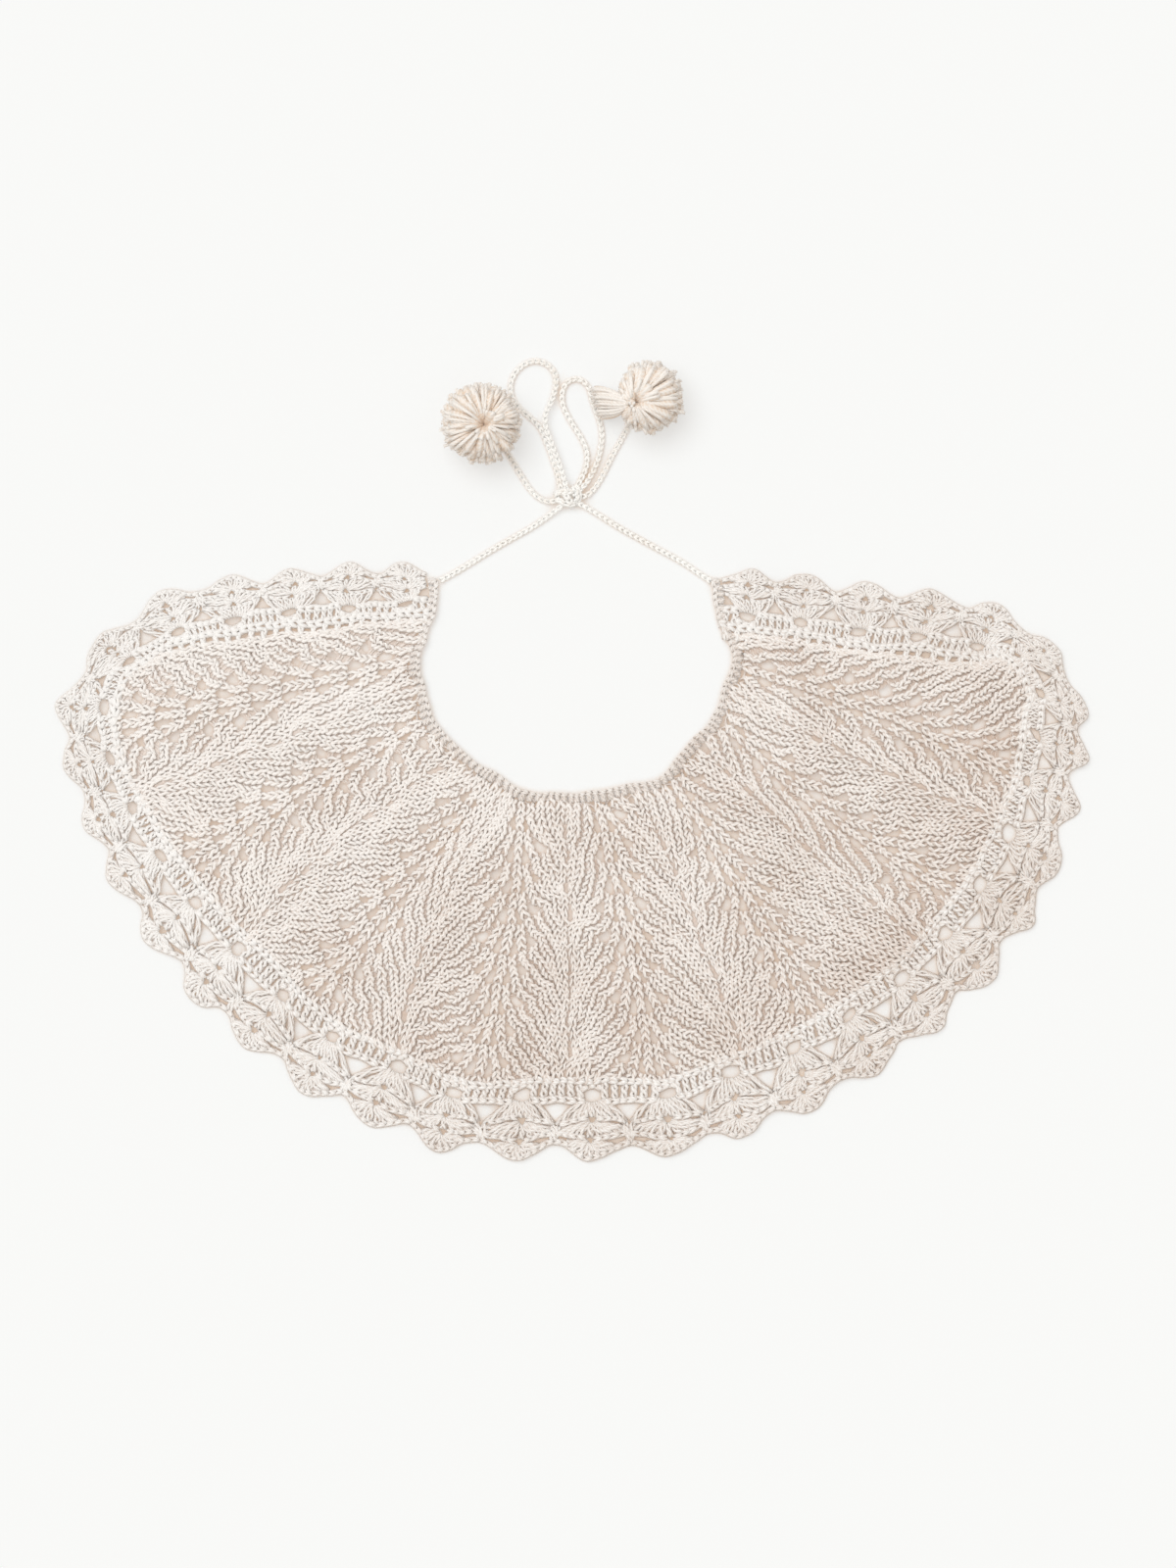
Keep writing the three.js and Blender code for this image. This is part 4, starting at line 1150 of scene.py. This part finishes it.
BAND_Z = 1.45
LACE_Z = 1.25
CROCHET_TOP = 1.9  # the surface of the band and the lace, above those heights, from which their painted shade is measured
FULL_DEPTH = 42.5  # the border's depth and the width of a scallop where the stitches have their full size
FULL_SCALLOP = 36
SCALE_LEAST, SCALE_MOST = 0.72, 1.05
HEM_ROW = 0.04  # where the single crochet lies, from the hem to the tips
BLOCK_HALF = 0.318  # from the middle of a block of posts to its last post, in scallops
BLOCK_FOOT = 0.085  # where its posts' feet lie, from the hem to the tips
BLOCK_HEAD = 0.272  # where the chain on them lies
BLOCK_POSTS = 6
CHAIN_PAST = 0.045  # how far that chain reaches past the last post, in scallops
HOLE_HALF = 0.17  # half the gap between two blocks, in scallops
BRIDGES_END = (5.2, 30.8)  # the scallops where the posts that bridge the gaps at the yoke's ends stop
BRIDGE_APART = 0.21  # between two of those posts, in scallops
LACE_PARTS = (1, 13, 24, LAST_SCALLOP + 1)  # where each piece of the lace starts, and the last ends


def border_place(at, out, high):
    return raised(border_point(at, out), high)


def stitch_scale(at):
    """How large the border's stitches are at a scallop."""
    deep = np.linalg.norm(border_point(at, 1) - border_point(at, 0)) / FULL_DEPTH
    wide = np.linalg.norm(border_point(at + 0.5, 0.3) - border_point(at - 0.5, 0.3)) / FULL_SCALLOP
    return float(np.clip((deep + wide) / 2, SCALE_LEAST, SCALE_MOST))


def border_chain(yarn, centre, xs, outs, high, pitch, wide, radius, core):
    """A row of chain stitches through places on one scallop, cut where the border ends."""
    inside = (centre + xs > BORDER_STARTS) & (centre + xs < BORDER_ENDS)
    if inside.sum() >= 2:
        path = border_place(centre + xs[inside], outs[inside], high)
        chain(yarn, path, pitch, wide, radius, core=core)


def border_post(yarn, centre, places, high, radius, gap, random, core, phase=None, grow=0.0):
    """A post through places on one scallop, left out where it lies past the border's ends."""
    xs, outs = np.array(places, float).T
    if (centre + xs).min() < BORDER_STARTS or (centre + xs).max() > BORDER_ENDS:
        return
    route = border_place(centre + xs, outs, high)
    route[-1] += random.normal(0, 0.2, 3) * (1, 1, 0.3)
    phase = random.uniform(0, math.pi) if phase is None else phase
    post(yarn, route, radius, gap, rise=0.35, phase=phase, core=core, grow=grow)


def make_band(material):
    """A row of single crochet along the hem, then blocks of double crochet with a row of chain on top."""
    random = np.random.default_rng(7)
    yarn = Yarn(BAND_Z + CROCHET_TOP)
    along = np.linspace(BORDER_STARTS, BORDER_ENDS, 500)
    hem = border_place(along, HEM_ROW + 0 * along, BAND_Z + 0.55)
    chain(yarn, hem, pitch=4.25, wide=4.6, radius=1.15, core=1.2)
    for block in range(LAST_SCALLOP + 1):
        add_block(yarn, block + 0.5, random)
    places = [(0, -END_GAP - 0.07), (0, 0.02)]
    for starts, ends in ((BORDER_STARTS + 0.1, BRIDGES_END[0]), (BRIDGES_END[1], BORDER_ENDS - 0.1)):
        for at in np.linspace(starts, ends, round((ends - starts) / BRIDGE_APART)):
            border_post(yarn, at, places, BAND_Z + 0.3, 0.9, 0.85, random, core=0.9, phase=math.pi / 2)
    return yarn.piece("edging_band_crochet", material, "edging_band", "crochet")


def add_block(yarn, centre, random):
    """Adds a block of posts with its chain, and the chain arch over the gap beside it."""
    scale = stitch_scale(centre)
    pitch = 4.4 * scale
    high = BAND_Z + 0.2
    xs = np.linspace(-BLOCK_HALF - CHAIN_PAST, BLOCK_HALF + CHAIN_PAST, 20)
    heads = BLOCK_HEAD + 0 * xs
    border_chain(yarn, centre, xs, heads, BAND_Z + 0.3, pitch, wide=4.2, radius=1.1, core=1.15)
    radius, gap, core = 0.95 * scale, 1.24 * scale, 1.03 * scale
    for x in np.linspace(-BLOCK_HALF, BLOCK_HALF, BLOCK_POSTS):
        places = [(x, BLOCK_FOOT), (x * 1.01, BLOCK_HEAD - 0.035)]
        border_post(yarn, centre, places, high, radius, gap, random, core, phase=math.pi / 2)
    beside = np.linspace(-HOLE_HALF, HOLE_HALF, 10)
    arch = 0.10 + 0.05 * (beside / HOLE_HALF) ** 2
    border_chain(yarn, centre, 0.5 + beside, arch, high, pitch, wide=3.2, radius=1.0, core=1.0)


def make_lace(material):
    """The lace, in three pieces: three tiers of shells on each scallop, and the chain along the edge."""
    pieces = []
    for part, (first, past) in enumerate(zip(LACE_PARTS, LACE_PARTS[1:])):
        random = np.random.default_rng(20 + part)
        yarn = Yarn(LACE_Z + CROCHET_TOP)
        for centre in range(first, past):
            add_scallop(yarn, centre, random)
        name = "shell_lace_crochet_%d" % (part + 1)
        pieces.append(yarn.piece(name, material, "shell_lace", "crochet"))
    return pieces


FAN_POSTS = 9
EDGE_TIP = 0.97  # where the chain along the edge lies at a scallop's tip
FAN_CHAINS = [
    # the chain over each half of a fan: how far to the side it ends, where it starts, how much it curves
    (0.44, 0.485, 0.3),
    (0.49, 0.735, -0.3),
]
JOINS = [
    # the routes of the strands that join a scallop to the next: to the side, out
    [(0.455, 0.57), (0.487, 0.64), (0.49, 0.72)],
    [(0.44, 0.62), (0.475, 0.70), (0.48, 0.76)],
]


def edge_out(x):
    """How far out the chain along a scallop's edge lies, at x scallops from its middle."""
    return EDGE_TIP - SCALLOP_CUT * (1 - np.cos(2 * math.pi * x)) / 2


# The route of one post of each tier, to the side and out. s runs from -1 to 1 over its fan.

def first_fan(s):
    """The first tier's feet are in the gap between two blocks."""
    if abs(s) == 1:
        return [(0.15 * s, 0.25), (0.27 * s, 0.34), (0.385 * s, 0.455), (0.455 * s, 0.565)]
    return [(0.14 * s, 0.29 - 0.04 * s * s), (0.25 * s, 0.37), (0.36 * s, 0.475 + 0.04 * s * s)]


def second_fan(s):
    angle = math.radians(82 * s)
    side, out = math.sin(angle), math.cos(angle)
    return [(0.03 * side, 0.53 + 0.02 * out), (0.44 * side, 0.71 - 0.08 * side ** 4)]


def third_fan(s):
    angle = math.radians(80 * s)
    side, out = math.sin(angle), math.cos(angle)
    x = 0.31 * side
    return [(0.03 * side, 0.765 + 0.02 * out), (x, edge_out(x) - 0.015)]


def add_scallop(yarn, centre, random):
    """Adds three fans of posts, the chains over them, and the strands that join them to the next."""
    scale = stitch_scale(centre)
    radius, gap, core = 0.84 * scale, 0.92 * scale, 0.88 * scale
    pitch, wide = 4.1 * scale, 3.1 * scale
    for fan in (first_fan, second_fan, third_fan):
        for s in np.linspace(-1, 1, FAN_POSTS):
            border_post(yarn, centre, fan(s), LACE_Z + 0.1, radius, gap, random, core, grow=0.3)
    for way in (-1, 1):
        for ends, out, curve in FAN_CHAINS:
            xs = way * np.linspace(0.05, ends, 14)
            outs = out + curve * xs ** 2
            border_chain(yarn, centre, xs, outs, LACE_Z + 0.5, pitch, wide, radius, core)
        for places in JOINS:
            route = [(way * x, out) for x, out in places]
            border_post(yarn, centre, route, LACE_Z + 0.2, radius, gap, random, core=0.8 * scale)
    xs = np.linspace(-0.5, 0.5, 30)
    border_chain(yarn, centre, xs, edge_out(xs), LACE_Z + 0.3, pitch, 3.0 * scale, radius, core)


# The neck edging

NECK_PITCH = 3.4
# the surface of the neck edging, from which its painted shade is measured
NECK_TOP = 4.7
NECK_LEFT = [(-67.5, 143), (-68.4, 134)]  # the inner edge from the left end of the border to the first line
NECK_RIGHT = [(73.2, 130), (71, 142.5)]  # and from the last line to the right end of the border
NECK_ROWS = [
    # how far out from the inner edge, how high
    (0.9, 2.4),
    (0.9, 1.0),
    (1.3, 2.3),
    (4.8, 2.1),
]


def make_neck_edging(material):
    """A row of single crochet along the neck, with a row of chain stitches on its inner edge."""
    across = np.arange(0, LAST_LINE + 0.01, 0.5)
    places = np.concatenate([NECK_LEFT, neck_point(across), NECK_RIGHT])
    outward = np.concatenate([[(-1, 0), (-1, 0)], neck_outward(across), [(1, 0), (1, 0)]])
    top, low, inner, outer = (raised(places + outward * out, high) for out, high in NECK_ROWS)
    yarn = Yarn(NECK_TOP)
    chain(yarn, spline(top, 400), NECK_PITCH, wide=2.7, radius=0.75)
    yarn.add(spline(low, 300), 0.9)
    count = round(path_lengths(inner)[-1] / NECK_PITCH)
    for foot, head in zip(spline(outer, count), spline(inner, count)):
        post(yarn, [foot, head], radius=0.8, gap=0.75, places=5, core=0.9)
    return yarn.piece("neck_edging_crochet", material, "neck_edging", "crochet")


# The scene

make_camera()
make_light()
make_floor()
# Each cotton's dark colour serves both its random darker patches and its painted shade in grooves and deep
# places.
cord_cotton = cotton("cord_cotton", (1, 0.995, 0.985), (0.88, 0.78, 0.69), twist=2.2, patchy=1.1, pale=0.19)
pompom_cotton = cotton("pompom_cotton", (0.955, 0.92, 0.89), (0.79, 0.61, 0.46), twist=2.4, pale=-0.04)
knit_cotton = cotton("knit_cotton", (0.975, 0.945, 0.93), (0.62, 0.485, 0.40), twist=2.6)
crochet_cotton = cotton("crochet_cotton", (0.97, 0.96, 0.96), (0.665, 0.56, 0.49), twist=2.6)
knot = make_knot(cord_cotton)
on_cords = {
    "tie_lead_left": [knot],
    "tie_lead_right": [knot],
    "tie_tail_left": [make_pompom("pompom_left", pompom_cotton, 1)],
    "tie_tail_right": [make_pompom("pompom_right", pompom_cotton, 2)],
}
for name in ROUTES:
    make_cord(name, cord_cotton, on_cords.get(name, []))
knit = make_yoke(knit_cotton)
web = make_web(knit_cotton)
band = make_band(crochet_cotton)
lace = make_lace(crochet_cotton)
neck_edging = make_neck_edging(crochet_cotton)
